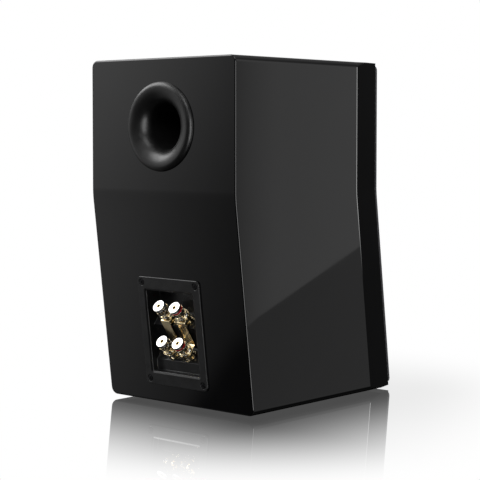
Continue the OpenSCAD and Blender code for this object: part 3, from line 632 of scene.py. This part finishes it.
bevelled(piece("terminal_plate", cut(plate, [mouth, *sinks]), "cabinet", "cup_plastic", ["terminal_cup"],
               sharp=40), 0.22, 2, 25)


def screws(name, places, node, drive, head_r, head_h, shank_r, shank_l):
    """Screws with softly crowned heads and hexagon or cross recesses; z = 0 is under a head."""
    bm = bmesh.new()
    w, l = head_r * 0.16, head_r * 0.58
    slots = {"cross": [rectangle(-l, -w, l, w), rectangle(-w, -l * 0.999, w, l)],
             "hex": [arc(0, 0, head_r * 0.5, 0, 300, 5)]}[drive]
    head = eased([(shank_r, 0), (head_r, 0), (head_r, head_h), (0, head_h * 1.04)], 0.35)
    shank = [(0, -shank_l), (shank_r * 0.5, -shank_l), (shank_r, -shank_l + 2)]
    for place in places:
        tools = [extruded(outline, head_h * 0.4, head_h + 1, place) for outline in slots]
        mesh = to_mesh(cut(lathed(shank + head, place, steps=40, closed=False), tools))
        bm.from_mesh(mesh)
        bpy.data.meshes.remove(mesh)
    piece(name, bm, "cabinet", "black_screws", [node])


screws("terminal_plate_screws", [LOWER_BACK @ shift(x, v, 0.7) @ Matrix.Rotation(turn * 0.7, 4, "Z")
                                 for turn, (x, v) in enumerate(plate_screws)],
       "terminal_screws", "cross", 3.1, 1.0, 1.4, 11.7)

# ---- binding posts

STUD_R = 3.5
COLLAR_H = 8
STRIP_T = 0.8
STRIP_W = 12.5
WASHER_LOW = COLLAR_H + STRIP_T + 0.02
KNOB_LOW = WASHER_LOW + 1.22
SLEEVE_LOW = KNOB_LOW + 1.5
BAND_LOW = 21.9
CAP_LOW = 23.6
KNOB_TOP = 27.5
STUD_TOP = 27.3
SOCKET_R = 2.03
FLUTES = 18
JOINT_A = 18     # how far up the post its joint's point lies
POSTS = {key: joints["knob_turn_" + key] for key in ("upper_neg", "upper_pos", "lower_neg", "lower_pos")}


def post_frame(key):
    """A post's own frame: z along the post, from the shelf."""
    axis = Vector(POSTS[key]["axis"])
    return face_frame(Vector(POSTS[key]["pos_m"]) - JOINT_A * MM * axis, axis.cross(Vector((-1, 0, 0))), axis)


def fluted(r, h, a):
    """Scale of a sleeve's radius: scallops round its grip, fading out at both ends."""
    fade = max(0.0, min(1.0, (h - SLEEVE_LOW - 2.2) / 0.6, (BAND_LOW - 0.3 - h) / 0.6))
    return 1 - 0.09 * fade * (0.5 + 0.5 * math.cos(FLUTES * a)) ** 1.5 if r > 6 else 1


collars = bmesh.new()
studs = bmesh.new()
for key in POSTS:
    place = post_frame(key)
    lathe(collars, eased([(STUD_R + FIT, 0), (8.3, 0), (8.3, 1.6), (7.6, 2.2), (7.6, COLLAR_H - 1.4),
                          (7.8, COLLAR_H - 0.9), (7.8, COLLAR_H), (STUD_R + FIT, COLLAR_H)],
                         0.3, closed=True, n=3), place, 64)
    lathe(studs, eased([(0, -16), (STUD_R, -16), (STUD_R, STUD_TOP), (SOCKET_R, STUD_TOP),
                        (SOCKET_R, STUD_TOP - 18), (0, STUD_TOP - 18.6)], 0.3, n=2), place, 48, closed=False)
    lathe(studs, eased(rectangle(4.2, 0.5, 6.3, 1.5), 0.2, closed=True, n=2), place, 48)
for bm in (collars, studs):
    clean(bm)
piece("clear_collars", collars, "cabinet", "clear_plastic", ["post_collars"])
piece("gold_studs", studs, "cabinet", "gold_metal", ["post_studs"])

inner = STUD_R + 0.05
washer = eased(rectangle(inner, WASHER_LOW, 6.2, KNOB_LOW - 0.02), 0.25, closed=True, n=3)
barrel = eased([(inner, KNOB_LOW), (6.6, KNOB_LOW), (6.6, KNOB_LOW + 1), (4.9, KNOB_LOW + 1.6), (4.9, 13.4),
                (6.3, 13.7), (6.3, 14.4), (4.9, 14.7), (4.9, CAP_LOW), (inner, CAP_LOW)],
               0.15, closed=True, n=2)
cap = eased([(inner, CAP_LOW), (6.8, CAP_LOW), (6.8, KNOB_TOP), (5.4, KNOB_TOP), (5.2, KNOB_TOP - 0.2),
             (4.9, KNOB_TOP - 0.2), (4.7, KNOB_TOP), (inner, KNOB_TOP)], 0.3, closed=True, n=3)
sleeve = [(5, SLEEVE_LOW), (8.1, SLEEVE_LOW), (8.3, SLEEVE_LOW + 0.25), (8.3, SLEEVE_LOW + 1.1),
          (8, SLEEVE_LOW + 1.6), (7.5, SLEEVE_LOW + 2.4),
          *[(7.5, SLEEVE_LOW + 2.8 + (BAND_LOW - SLEEVE_LOW - 3.8) * k / 8) for k in range(9)],
          (7.35, BAND_LOW - 0.4), (7, BAND_LOW), (5, BAND_LOW)]
band = eased(rectangle(5, BAND_LOW, 6.9, CAP_LOW), 0.2, closed=True, n=2)
for key in POSTS:
    place = post_frame(key)
    for name, profile, body, slot, node, steps, flute in (
            ("washer_disc_", washer, "washer_", "gold_metal", "clamp_washer_", 48, None),
            ("knob_barrel_", barrel, "knob_", "gold_metal", "knob_core_", 48, None),
            ("knob_cap_", cap, "knob_", "silver_metal", "knob_core_", 64, None),
            ("knob_sleeve_clear_", sleeve, "knob_", "clear_plastic", "knob_sleeve_", FLUTES * 8, fluted),
            ("knob_ring_", band, "knob_", "red_band" if key.endswith("pos") else "black_band",
             "knob_band_", 64, None)):
        piece(name + key, lathed(profile, place, steps=steps, flute=flute), body + key, slot, [node + key])

# The jumper strips: a tab square to each post and a web parallel to the undercut between the shelves
FOOT_BACK = 8
HALF_TURN = math.sqrt(0.5)
slope = math.atan2(valley, TIP_V[1] - TIP_V[0] - valley)


def strip_line():
    """Centre line of a strip as (v, n) points."""
    foot = FOOT_BACK * HALF_TURN
    rise = HALF_TURN * (COLLAR_H + STRIP_T / 2)
    upper, lower = [Vector((tip + foot + rise, TIP_N - foot + rise)) for tip in reversed(TIP_V)]
    out = Vector((-HALF_TURN, HALF_TURN))     # down and outward, square to the posts
    bend = upper + 8 * out
    drop = (bend.x + bend.y - lower.x - lower.y) / (math.sin(slope) + math.cos(slope))
    heel = bend - drop * Vector((math.cos(slope), math.sin(slope)))
    return [upper - 6 * out, bend, heel, lower + 6 * out]


def thickened(line, t):
    """Outline of a band of that thickness along a line."""
    line = [Vector(p) for p in line]
    sides = ([], [])
    for i, p in enumerate(line):
        before = (p - line[i - 1]).normalized() if i else (line[1] - p).normalized()
        after = (line[i + 1] - p).normalized() if i < len(line) - 1 else before
        a, b = Vector((-before.y, before.x)), Vector((-after.y, after.x))
        m = (a + b).normalized()
        for side, half in zip(sides, (t / 2, -t / 2)):
            side.append(tuple(p + m * half / m.dot(a)))
    return sides[0] + sides[1][::-1]


strip_outline = thickened(eased(strip_line(), 1.6, n=8), STRIP_T)
for name, side in (("negative", 1), ("positive", -1)):
    x = -side * abs(POSTS["upper_neg"]["pos_m"][0]) / MM
    ends = [post_frame(level + ("_neg" if side > 0 else "_pos")) for level in ("upper", "lower")]
    strip = cut(extruded(strip_outline, x - STRIP_W / 2, x + STRIP_W / 2, SIDEWAYS),
                [disc(STUD_R + FIT, COLLAR_H - 1, COLLAR_H + 2, end, 48) for end in ends])
    bevelled(piece("jumper_strip_" + name, strip, "cabinet", "gold_metal", ["jumper_" + name], sharp=40),
             0.15, 2, 40)

# ---- woofer


def smooth_line(points, steps=6):
    """A smooth curve through the points."""
    p = [points[0], *points, points[-1]]
    out = []
    for a, b, c, d in zip(p, p[1:], p[2:], p[3:]):
        for k in range(steps):
            t = k / steps
            out.append(tuple(0.5 * (2 * q + (r - o) * t + (2 * o - 5 * q + 4 * r - e) * t**2
                                    + (3 * q - o - 3 * r + e) * t**3) for o, q, r, e in zip(a, b, c, d)))
    return out + [points[-1]]


def sheet_under(line, t):
    """Outline of a sheet whose upper side is that line."""
    return line + [(r, n - t) for r, n in reversed(line)]


def driver_sinks(places, hole_r, seat_n, head_r, rim_r, rim_n):
    """Cutters for a driver's sunk screws."""
    profile = [(0, -9), (hole_r, -9), (hole_r, seat_n), (head_r, seat_n), (head_r, -0.2), (rim_r, rim_n),
               (rim_r, 2), (0, 2)]
    return [lathed(profile, place, steps=40, closed=False) for place in places]


def soft_ring(name, line, t, place, slot, node, inner, outer, steps=96):
    """A ring of that thickness along the line, turned round the place and baked into the row frame; it rides on no
    body. inner and outer are not used.
    """
    obj = piece(name, lathed(thickened(line, t), place, steps=steps), None, slot, [node], weighted=False)
    inner, outer = inner * MM, outer * MM
    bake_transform(obj)
    points = np.empty(len(obj.data.vertices) * 3)
    obj.data.vertices.foreach_get("co", points)


SPIDER_N = -42
COIL_R = 19.2
SURROUND_IN, SURROUND_OUT, SURROUND_N = 55, 69, -4.6
SURROUND_FLAT = 0.75     # height of its roll as a share of a half circle's
basket = eased([
    (84, -5), (84, 0), (73.6, 0), (73.6, -4.97), (67.5, -4.97), (67.5, -8), (51.5, -42.3), (46.5, -42.3),
    (46.5, -45.3), (28, -57), (28, -60), (49, -60), (52, -52), (54.5, -42.3), (72, -9.5), (75.8, -8.5),
    (75.8, -5)], 0.6, closed=True, n=3)
windows = [extruded(rectangle(0, -14, 40, 14), -40, -12, place) for place in ring_of(WOOFER, 6, 50, 30)]
sinks = driver_sinks(woofer_screws, 2.4, -3.2, 3.9, 4.4, 0.3)
basket = cut(lathed(basket, WOOFER, steps=144), windows + sinks)
bevelled(piece("woofer_frame", basket, "cabinet", "basket_metal", ["woofer_basket"], sharp=40), 0.25, 2, 40)
screws("woofer_bolts", [place @ shift(0, 0, -3.2) for place in woofer_screws], "woofer_screws", "hex",
       3.5, 2.9, 1.9, 16)

cone_line = smooth_line([(55.5, -5.5), (46, -11.2), (36, -18.6), (27, -26.2), (COIL_R + 0.8, -33)])
piece("woofer_diaphragm_cone", lathed(thickened(cone_line, 0.9), WOOFER, steps=160), "woofer_diaphragm",
      "cone_material", ["woofer_cone"])
crown = [(24 * k / 16, -19.7 - 8.2 * (k / 16) ** 2) for k in range(17)]
piece("woofer_centre_cap", lathed(sheet_under(crown, 0.6), WOOFER, closed=False), "woofer_diaphragm",
      "rubber", ["woofer_dust_cap"])
roll_curve = [(r, SURROUND_N + SURROUND_FLAT * n) for r, n in
              arc((SURROUND_IN + SURROUND_OUT) / 2, 0, (SURROUND_OUT - SURROUND_IN) / 2, 178, 2, 28)]
roll_line = eased([(SURROUND_IN - 2, SURROUND_N), *roll_curve, (SURROUND_OUT + 4, SURROUND_N)], 0.6, n=3)
soft_ring("woofer_roll", roll_line, 0.7, WOOFER, "rubber", "woofer_surround",
          SURROUND_IN, SURROUND_OUT, 160)
wave_line = [(20 + 26.4 * k / 96, SPIDER_N + 1.4 * math.sin(2 * math.pi * 4 * k / 96)) for k in range(97)]
soft_ring("woofer_suspension", wave_line + [(51, SPIDER_N)], 0.5, WOOFER, "treated_cloth", "woofer_spider",
          21, 46)

# ---- tweeter

faceplate = eased([
    (52, -5), (52, 0), (31, 0), (25, -0.5), (19.4, -2), (17.2, -2.2), (16.1, -3.5), (16.1, -3.9),
    (14.6, -3.9), (14.6, -7), (38, -7), (38, -5)], 0.5, closed=True, n=3)
faceplate = cut(lathed(faceplate, TWEETER, steps=144), driver_sinks(tweeter_screws, 2.1, -2.6, 3.6, 4, 0.2))
bevelled(piece("tweeter_plate", faceplate, "cabinet", "basket_metal", ["tweeter_faceplate"], sharp=40),
         0.2, 2, 40)
screws("tweeter_bolts", [place @ shift(0, 0, -2.6) for place in tweeter_screws], "tweeter_screws", "hex",
       3.2, 2.4, 1.6, 14)


def cap_height(r, rim, rise, low):
    """Height of a spherical cap at radius r, given its rim's radius, its rise and its rim's height."""
    sphere = (rim * rim + rise * rise) / (2 * rise)
    return low + rise - sphere + math.sqrt(sphere * sphere - r * r)


DOME_N = -3.4
MESH_R = 19
dome_line = [(12.6 * k / 20, cap_height(12.6 * k / 20, 12.8, 4.8, DOME_N)) for k in range(21)]
piece("tweeter_cap", lathed(sheet_under(dome_line, 0.3), TWEETER, closed=False), "tweeter_diaphragm",
      "dome_aluminium", ["tweeter_dome"])
fold_line = [(12.95, DOME_N - 0.3), *arc(14.3, DOME_N - 0.3, 1.1, 175, 5, 14), (15.85, DOME_N - 0.3)]
soft_ring("tweeter_roll", fold_line, 0.24, TWEETER, "treated_cloth", "tweeter_surround",
          13.2, 15.4)

CELL = 0.85     # distance from the middle of a hole in the mesh to its corner
honeycomb = bmesh.new()
corners = {}
for column in range(-16, 17):
    for row in range(-16, 17):
        x, y = CELL * 1.5 * column, CELL * math.sqrt(3) * (row + column % 2 / 2)
        if math.hypot(x, y) > MESH_R - 1.2:
            continue
        hexagon = []
        for k in range(6):
            u, v = x + CELL * math.cos(math.pi * k / 3), y + CELL * math.sin(math.pi * k / 3)
            key = (round(u, 3), round(v, 3))
            if key not in corners:
                high = cap_height(math.hypot(u, v), MESH_R, 4.2, -1.4) - 0.25
                corners[key] = honeycomb.verts.new(TWEETER @ Vector((u * MM, v * MM, high * MM)))
            hexagon.append(corners[key])
        honeycomb.faces.new(hexagon)
honeycomb = piece("tweeter_guard", honeycomb, "cabinet", "mesh_steel", ["tweeter_mesh"], weighted=False)
honeycomb.modifiers.new("wires", "WIREFRAME").thickness = 0.42 * MM
rim_line = [(r, cap_height(r, MESH_R, 4.2, -1.4)) for r in (17.2, 17.8, 18.4, 19)]
piece("tweeter_guard_rim", lathed(sheet_under(rim_line, 0.5), TWEETER), "cabinet", "mesh_steel",
      ["tweeter_mesh"])

# ---- grille, in metres

GRILLE_T = 6.2 * MM
GRILLE_IN = 2 * MM
GRILLE_GAP = 0.3 * MM
GRILLE_HALF = HALF_W - CHAMFER_IN - GRILLE_IN
CLOTH_T = 0.5 * MM
RAIL = 14 * MM
SAG = 0.35 * MM     # how far the cloth dips between the bars


def bent_outline(half, z0, z1, r):
    """A rounded upright rectangle as (x, z), with the bend's rows in its sides: up one, down the other."""
    side = arc(half - r, z0 + r, r, -90, 0, 6) + [(half, z) for z in bend_rows if z0 + r < z < z1 - r]
    side += arc(half - r, z1 - r, r, 0, 90, 6)
    return side + [(-x, z) for x, z in reversed(side)]


def bent_block(half, z0, z1, r, y0, y1):
    """A block with that outline between two depths, which follows the bend of the front."""
    bm = bmesh.new()
    ends = [bent_ring(bm, bent_outline(half, z0, z1, r), y) for y in (y0, y1)]
    bridge(bm, ends)
    for end in ends:
        rungs(bm, end)
    return bm


CROSSBAR = (BEND_H - 3 * MM, BEND_H + 7 * MM)
WINDOWS = ((GRILLE_IN + RAIL, CROSSBAR[0]), (CROSSBAR[1], HEIGHT - GRILLE_IN - RAIL))
bars = bent_block(GRILLE_HALF - CLOTH_T, GRILLE_IN + CLOTH_T, HEIGHT - GRILLE_IN - CLOTH_T, 5 * MM,
                  FRONT_Y - GRILLE_T + CLOTH_T, FRONT_Y - GRILLE_GAP)
openings = [bent_block(GRILLE_HALF - RAIL, z0, z1, 6 * MM, FRONT_Y - 20 * MM, FRONT_Y + 20 * MM)
            for z0, z1 in WINDOWS]
openings += [disc(MAGNET_R + FIT, -1, 2.5, place, 32) for place in magnets]
bevelled(piece("grille_bars", cut(bars, openings), "grille", "grille_plastic", ["grille_frame"], sharp=40),
         0.4, 2, 40)


def sag_at(x, z):
    """The cloth's dip towards the speaker inside a window of the frame."""
    for z0, z1 in WINDOWS:
        if z0 < z < z1 and abs(x) < GRILLE_HALF - RAIL:
            across = 1 - (x / (GRILLE_HALF - RAIL)) ** 2
            up = 1 - ((2 * z - z0 - z1) / (z1 - z0)) ** 2
            return SAG * min(1.0, 3 * across) * min(1.0, 3 * up)
    return 0.0


EDGE_ROUND = 1.2 * MM     # how softly the cloth turns over the frame's front edge
cloth = bmesh.new()
rings = []
turns = [math.radians(a) for a in range(0, 91, 15)]
edge_steps = [(EDGE_ROUND * (1 - math.cos(a)), GRILLE_T - EDGE_ROUND * (1 - math.sin(a))) for a in turns]
for inset, out in [(0.0, GRILLE_GAP)] + edge_steps:
    outline = bent_outline(GRILLE_HALF - inset, GRILLE_IN + inset, HEIGHT - GRILLE_IN - inset,
                           5.5 * MM - inset)
    rings.append(bent_ring(cloth, outline, FRONT_Y - out))
bridge(cloth, rings)
last = rings[-1]
rungs(cloth, last)


def apart(edge, axis):
    return abs(edge.verts[0].co[axis] - edge.verts[1].co[axis])


front_faces = [f for f in cloth.faces if all(v in last for v in f.verts)]
long_edges = {e for f in front_faces for e in f.edges if apart(e, 0) > 2 * EDGE_ROUND and apart(e, 2) < 1e-6}
bmesh.ops.subdivide_edges(cloth, edges=list(long_edges), cuts=23, use_grid_fill=True)
tall_edges = [e for e in cloth.edges if apart(e, 2) > 60 * MM]
bmesh.ops.subdivide_edges(cloth, edges=tall_edges, cuts=17, use_grid_fill=True)
for v in cloth.verts:
    v.co.y += sag_at(v.co.x, v.co.z - BASE_Z)
bmesh.ops.recalc_face_normals(cloth, faces=cloth.faces)
if sum(f.normal.y * f.calc_area() for f in cloth.faces) > 0:
    bmesh.ops.reverse_faces(cloth, faces=cloth.faces)
cloth = piece("grille_cloth_cover", cloth, "grille", "grille_fabric", ["grille_cloth"], weighted=False)
depth = cloth.modifiers.new("cloth_depth", "SOLIDIFY")
depth.thickness = CLOTH_T
depth.offset = -1

# ---- feet, and pads inside

feet = bmesh.new()
foot_outline = eased([(0, 0), (7.4, 0), (8.6, 1.0), (9, BASE_Z / MM), (0, BASE_Z / MM)], 0.4, n=3)
for x in (-68 * MM, 68 * MM):
    for y in (FRONT_Y + 38 * MM, BACK_Y - 34 * MM):
        lathe(feet, foot_outline, Matrix.Translation((x, y - LEAN_D, 0)), 48, closed=False)
clean(feet)
piece("foot_pads", feet, "cabinet", "rubber", ["rubber_feet"])


def fibre_pad(name, low, high, thin):
    """A matted fibre pad in that box, before the bend: crowned and lumpy faces, pinched rims."""
    low, high = Vector(low), Vector(high)
    bm = bmesh.new()
    bmesh.ops.create_cube(bm, size=1)
    bmesh.ops.subdivide_edges(bm, edges=bm.edges, cuts=21, use_grid_fill=True)
    middle, size = (low + high) / 2, high - low
    wide = [axis for axis in range(3) if axis != thin]
    for v in bm.verts:
        share = [abs(v.co[axis]) * 2 for axis in range(3)]
        a, b = v.co[wide[0]], v.co[wide[1]]
        crown = 1 - 0.45 * max(share[wide[0]], share[wide[1]])**6
        lump = 0.06 * (math.sin(31 * a + 3) * math.sin(27 * b + 1) + math.sin(61 * a) * math.sin(53 * b + 2))
        spot = v.co.copy()
        spot[thin] *= crown - 0.12 + lump
        for axis in wide:
            spot[axis] *= 0.985 - 0.012 * (share[thin] ** 2)
        v.co = Vector(m + s * c for m, s, c in zip(middle, size, spot))
        v.co.y += lean(v.co.z - BASE_Z)
    obj = piece(name, bm, "cabinet", "damping_fibre", ["damping_pads"], sharp=180, weighted=False)


MID_Y = BACK_Y - SIDE_D / 2
PAD_T = 12 * MM
INNER = HALF_W - WALL
for side, x in (("left", INNER - PAD_T), ("right", -INNER)):
    for level, y0, y1, z0, z1 in (("low", -50, 55, 34, 196), ("high", -85, 70, 240, 345)):
        fibre_pad(f"pad_{level}_{side}", (x, MID_Y + y0 * MM, BASE_Z + z0 * MM),
                  (x + PAD_T, MID_Y + y1 * MM, BASE_Z + z1 * MM), 0)
fibre_pad("pad_top", (-62 * MM, MID_Y - 80 * MM, BASE_Z + HEIGHT - WALL - PAD_T),
          (62 * MM, MID_Y + 70 * MM, BASE_Z + HEIGHT - WALL), 2)

# ---- stage, in metres

FOOTPRINT = Vector((0, (BACK_Y + FRONT_Y) / 2 - LEAN_D, 0))
FOOT_HALF = (HALF_W, (BACK_Y - FRONT_Y) / 2, 0)
MIRROR_NEAR = 0.93     # how much of the mirror image shows right beside the cabinet
MIRROR_FADE = 0.30     # distance at which it is gone
WHITE = (1, 1, 1, 1)


def hide(obj, *rays):
    for ray in rays:
        setattr(obj, "visible_" + ray, False)


# The floor is white, with a mirror image that fades away from the cabinet
n = Nodes("floor_white", bare=True)
apart_v = n.vector("SUBTRACT", n.vector("ABSOLUTE", n.vector("SUBTRACT", n.place, FOOTPRINT)), FOOT_HALF)
away = n.vector("LENGTH", n.vector("MAXIMUM", apart_v, (0, 0, 0)))
mirror = n.add("BsdfGlossy", {"Roughness": 0, "Color": WHITE}).outputs[0]
floor_bm = bmesh.new()
bmesh.ops.create_grid(floor_bm, x_segments=8, y_segments=8, size=8)
floor = placed("floor", to_mesh(floor_bm, "floor"))
floor.data.materials.append(n.surface(n.mix(n.step(away, 0, MIRROR_FADE, MIRROR_NEAR, 0), n.emit(1), mirror)))
hide(floor, "glossy", "diffuse", "transmission")


def quad(name, w, h, material):
    """A flat rectangle, given half its width and height."""
    mesh = bpy.data.meshes.new(name)
    mesh.from_pydata([(*corner, 0) for corner in rectangle(-w, -h, w, h)], [], [(0, 1, 2, 3)])
    mesh.materials.append(material)
    return placed(name, mesh)


# The shade under the cabinet, which only its own underside reflects
n = Nodes("shade_under", bare=True)
shade = quad("shade_under", HALF_W - 4 * MM, FOOT_HALF[1] - 4 * MM, n.surface(n.emit(0)))
shade.location = FOOTPRINT - Vector((0, 0, 0.5 * MM))
hide(shade, "camera", "diffuse", "shadow", "transmission")


def aim(obj, centre, target, axis="Z"):
    """Puts an object at the centre, with that axis of its own towards the target."""
    facing = (Vector(target) - Vector(centre)).to_track_quat(axis, "Y")
    obj.matrix_world = Matrix.Translation(Vector(centre)) @ facing.to_matrix().to_4x4()


def card(name, centre, target, width, height, strength, fade=(0.12, 0.12, 0.12, 0.12)):
    """A softbox that only reflections see. It fades over those shares of it at left, right, foot and top."""
    n = Nodes(name, bare=True)
    x, y, _ = n.split(n.vector("ADD", n.vector("DIVIDE", n.place, (width, height, 1)), (0.5, 0.5, 0)))
    left, right, foot, top = (max(share, 0.001) for share in fade)
    level = n.times(n.step(x, 0, left), n.step(x, 1, 1 - right), n.step(y, 0, foot), n.step(y, 1, 1 - top))
    glow = n.surface(n.mix(level, n.add("BsdfTransparent").outputs[0], n.emit(strength)))
    obj = quad(name, width / 2, height / 2, glow)
    aim(obj, centre, target)
    hide(obj, "camera", "diffuse", "shadow")


cup_middle = Vector((0, 0.125, 0.085))
card("softbox_over", cup_middle + 1.7 * Vector((0.66, 0.28, 0.70)), cup_middle, 1.3, 1.3, 5.0)
port_middle = Vector((0, 0.14, 0.27))
card("softbox_port", port_middle + 1.6 * Vector((-0.395, 0.40, 0.795)), port_middle, 0.35, 1.0, 5.0)

# A tall white flat on the floor beside the cabinet: its foot is the slanting line in the side panel
FLAT_NEAR, FLAT_FAR = Vector((-0.416, -0.116, 0)), Vector((-1.889, -2.593, 0))
FLAT_H = 1.8
flat_middle = (FLAT_NEAR + FLAT_FAR) / 2 + Vector((0, 0, FLAT_H / 2))
flat_out = (FLAT_NEAR - FLAT_FAR).cross(Vector((0, 0, 1))).normalized()
card("flat_side", flat_middle, flat_middle + flat_out, (FLAT_NEAR - FLAT_FAR).length, FLAT_H, 0.66,
     (0.05, 0.25, 0.0, 0.4))
# A strip for the crease between the side and its chamfer, and one beside the camera for the upright edge
card("strip_front", (-0.72, -1.46, 0.35), (-0.108, -0.06, 0.35), 0.55, 0.7, 7.0, (0.4, 0.4, 0.25, 0.15))
card("softbox_side", (-1.95, 1.05, 0.0), (-0.1, 0.14, 0.0), 1.5, 2.6, 6.0, (0.45, 0.45, 0.2, 0.2))
card("softbox_front", (1.5, -2.3, 0.9), (0, -0.1, 0.3), 1.1, 1.6, 0.8, (0.4, 0.4, 0.3, 0.3))
for name, centre, watts in (("fill_rear", (-0.4, 2.2, 1.6), 40), ("fill_top", (0.4, 0.2, 2.4), 30),
                            ("fill_front", (0.8, -2.2, 1.4), 40), ("fill_side", (-2.2, -0.4, 1.2), 25)):
    light = bpy.data.lights.new(name, "AREA")
    light.energy, light.size, light.shape = watts, 1.5, "DISK"
    lamp = placed(name, light)
    aim(lamp, centre, (0, 0.02, 0.19), "-Z")
    hide(lamp, "camera", "glossy")

sky = Nodes("studio", bpy.data.worlds, bare=True, space="Generated")
scene.world = sky.owner


def by_angle(value, x0, x1, y0=0.0, y1=1.0):
    """A step whose x0 and x1 are in degrees."""
    return sky.step(value, math.radians(x0), math.radians(x1), y0, y1)


x, y, z = sky.split(sky.place)
rise = sky.math("ARCSINE", z)
rear = sky.math("ARCTAN2", x, y)     # angle from straight behind the speaker, positive towards +X
front = sky.math("ARCTAN2", sky.times(x, -1), sky.times(y, -1))     # and from straight ahead
# Behind: a soft wash that falls off towards the speaker's own side, and towards the floor, with an unlit
# corner of the floor, whose edge runs slantwise. Both sides meet straight ahead, at 0.03.
across = sky.math("ADD", rear, sky.times(rise, 0.2))
corner = sky.math("ADD", rise, sky.times(rear, 0.894))
wash = sky.times(by_angle(across, 39, 48.5, 0.20), by_angle(rear, 60, 100, 1, 0.03),
                 sky.math("ADD", by_angle(rise, -24, -12, 0.26, 0.52), by_angle(rise, -6, 5, 0, 0.42)),
                 by_angle(corner, 19.9, 21.6, 0.15, 1))
# Ahead to the side: the floor's dull white, gone before the angle wraps round
dull = sky.times(by_angle(front, 26, 34), by_angle(front, 70, 110, 1, 0.3),
                 by_angle(rise, -40, -20, 0.1, 0.30), by_angle(front, 120, 170, 1, 0))
above = by_angle(rise, 10, 60, 0.0, 0.30)
total = sky.math("ADD", sky.math("ADD", wash, dull), sky.math("ADD", above, 0.015))
path = sky.add("LightPath").outputs
straight = sky.math("MAXIMUM", path["Is Camera Ray"], path["Is Singular Ray"])
room = sky.add("Background", {"Color": WHITE, "Strength": total}).outputs[0]
white = sky.add("Background", {"Color": WHITE}).outputs[0]
sky.surface(sky.mix(straight, room, white), "World")

# ---- the CAD nodes still shown

slot_of = {s["node"]: s["material_slot"] for s in frame["record"]["subparts"]}
for name, obj in frame["nodes"].items():
    obj.data.materials.clear()
    obj.data.materials.append(materials[slot_of[name]])
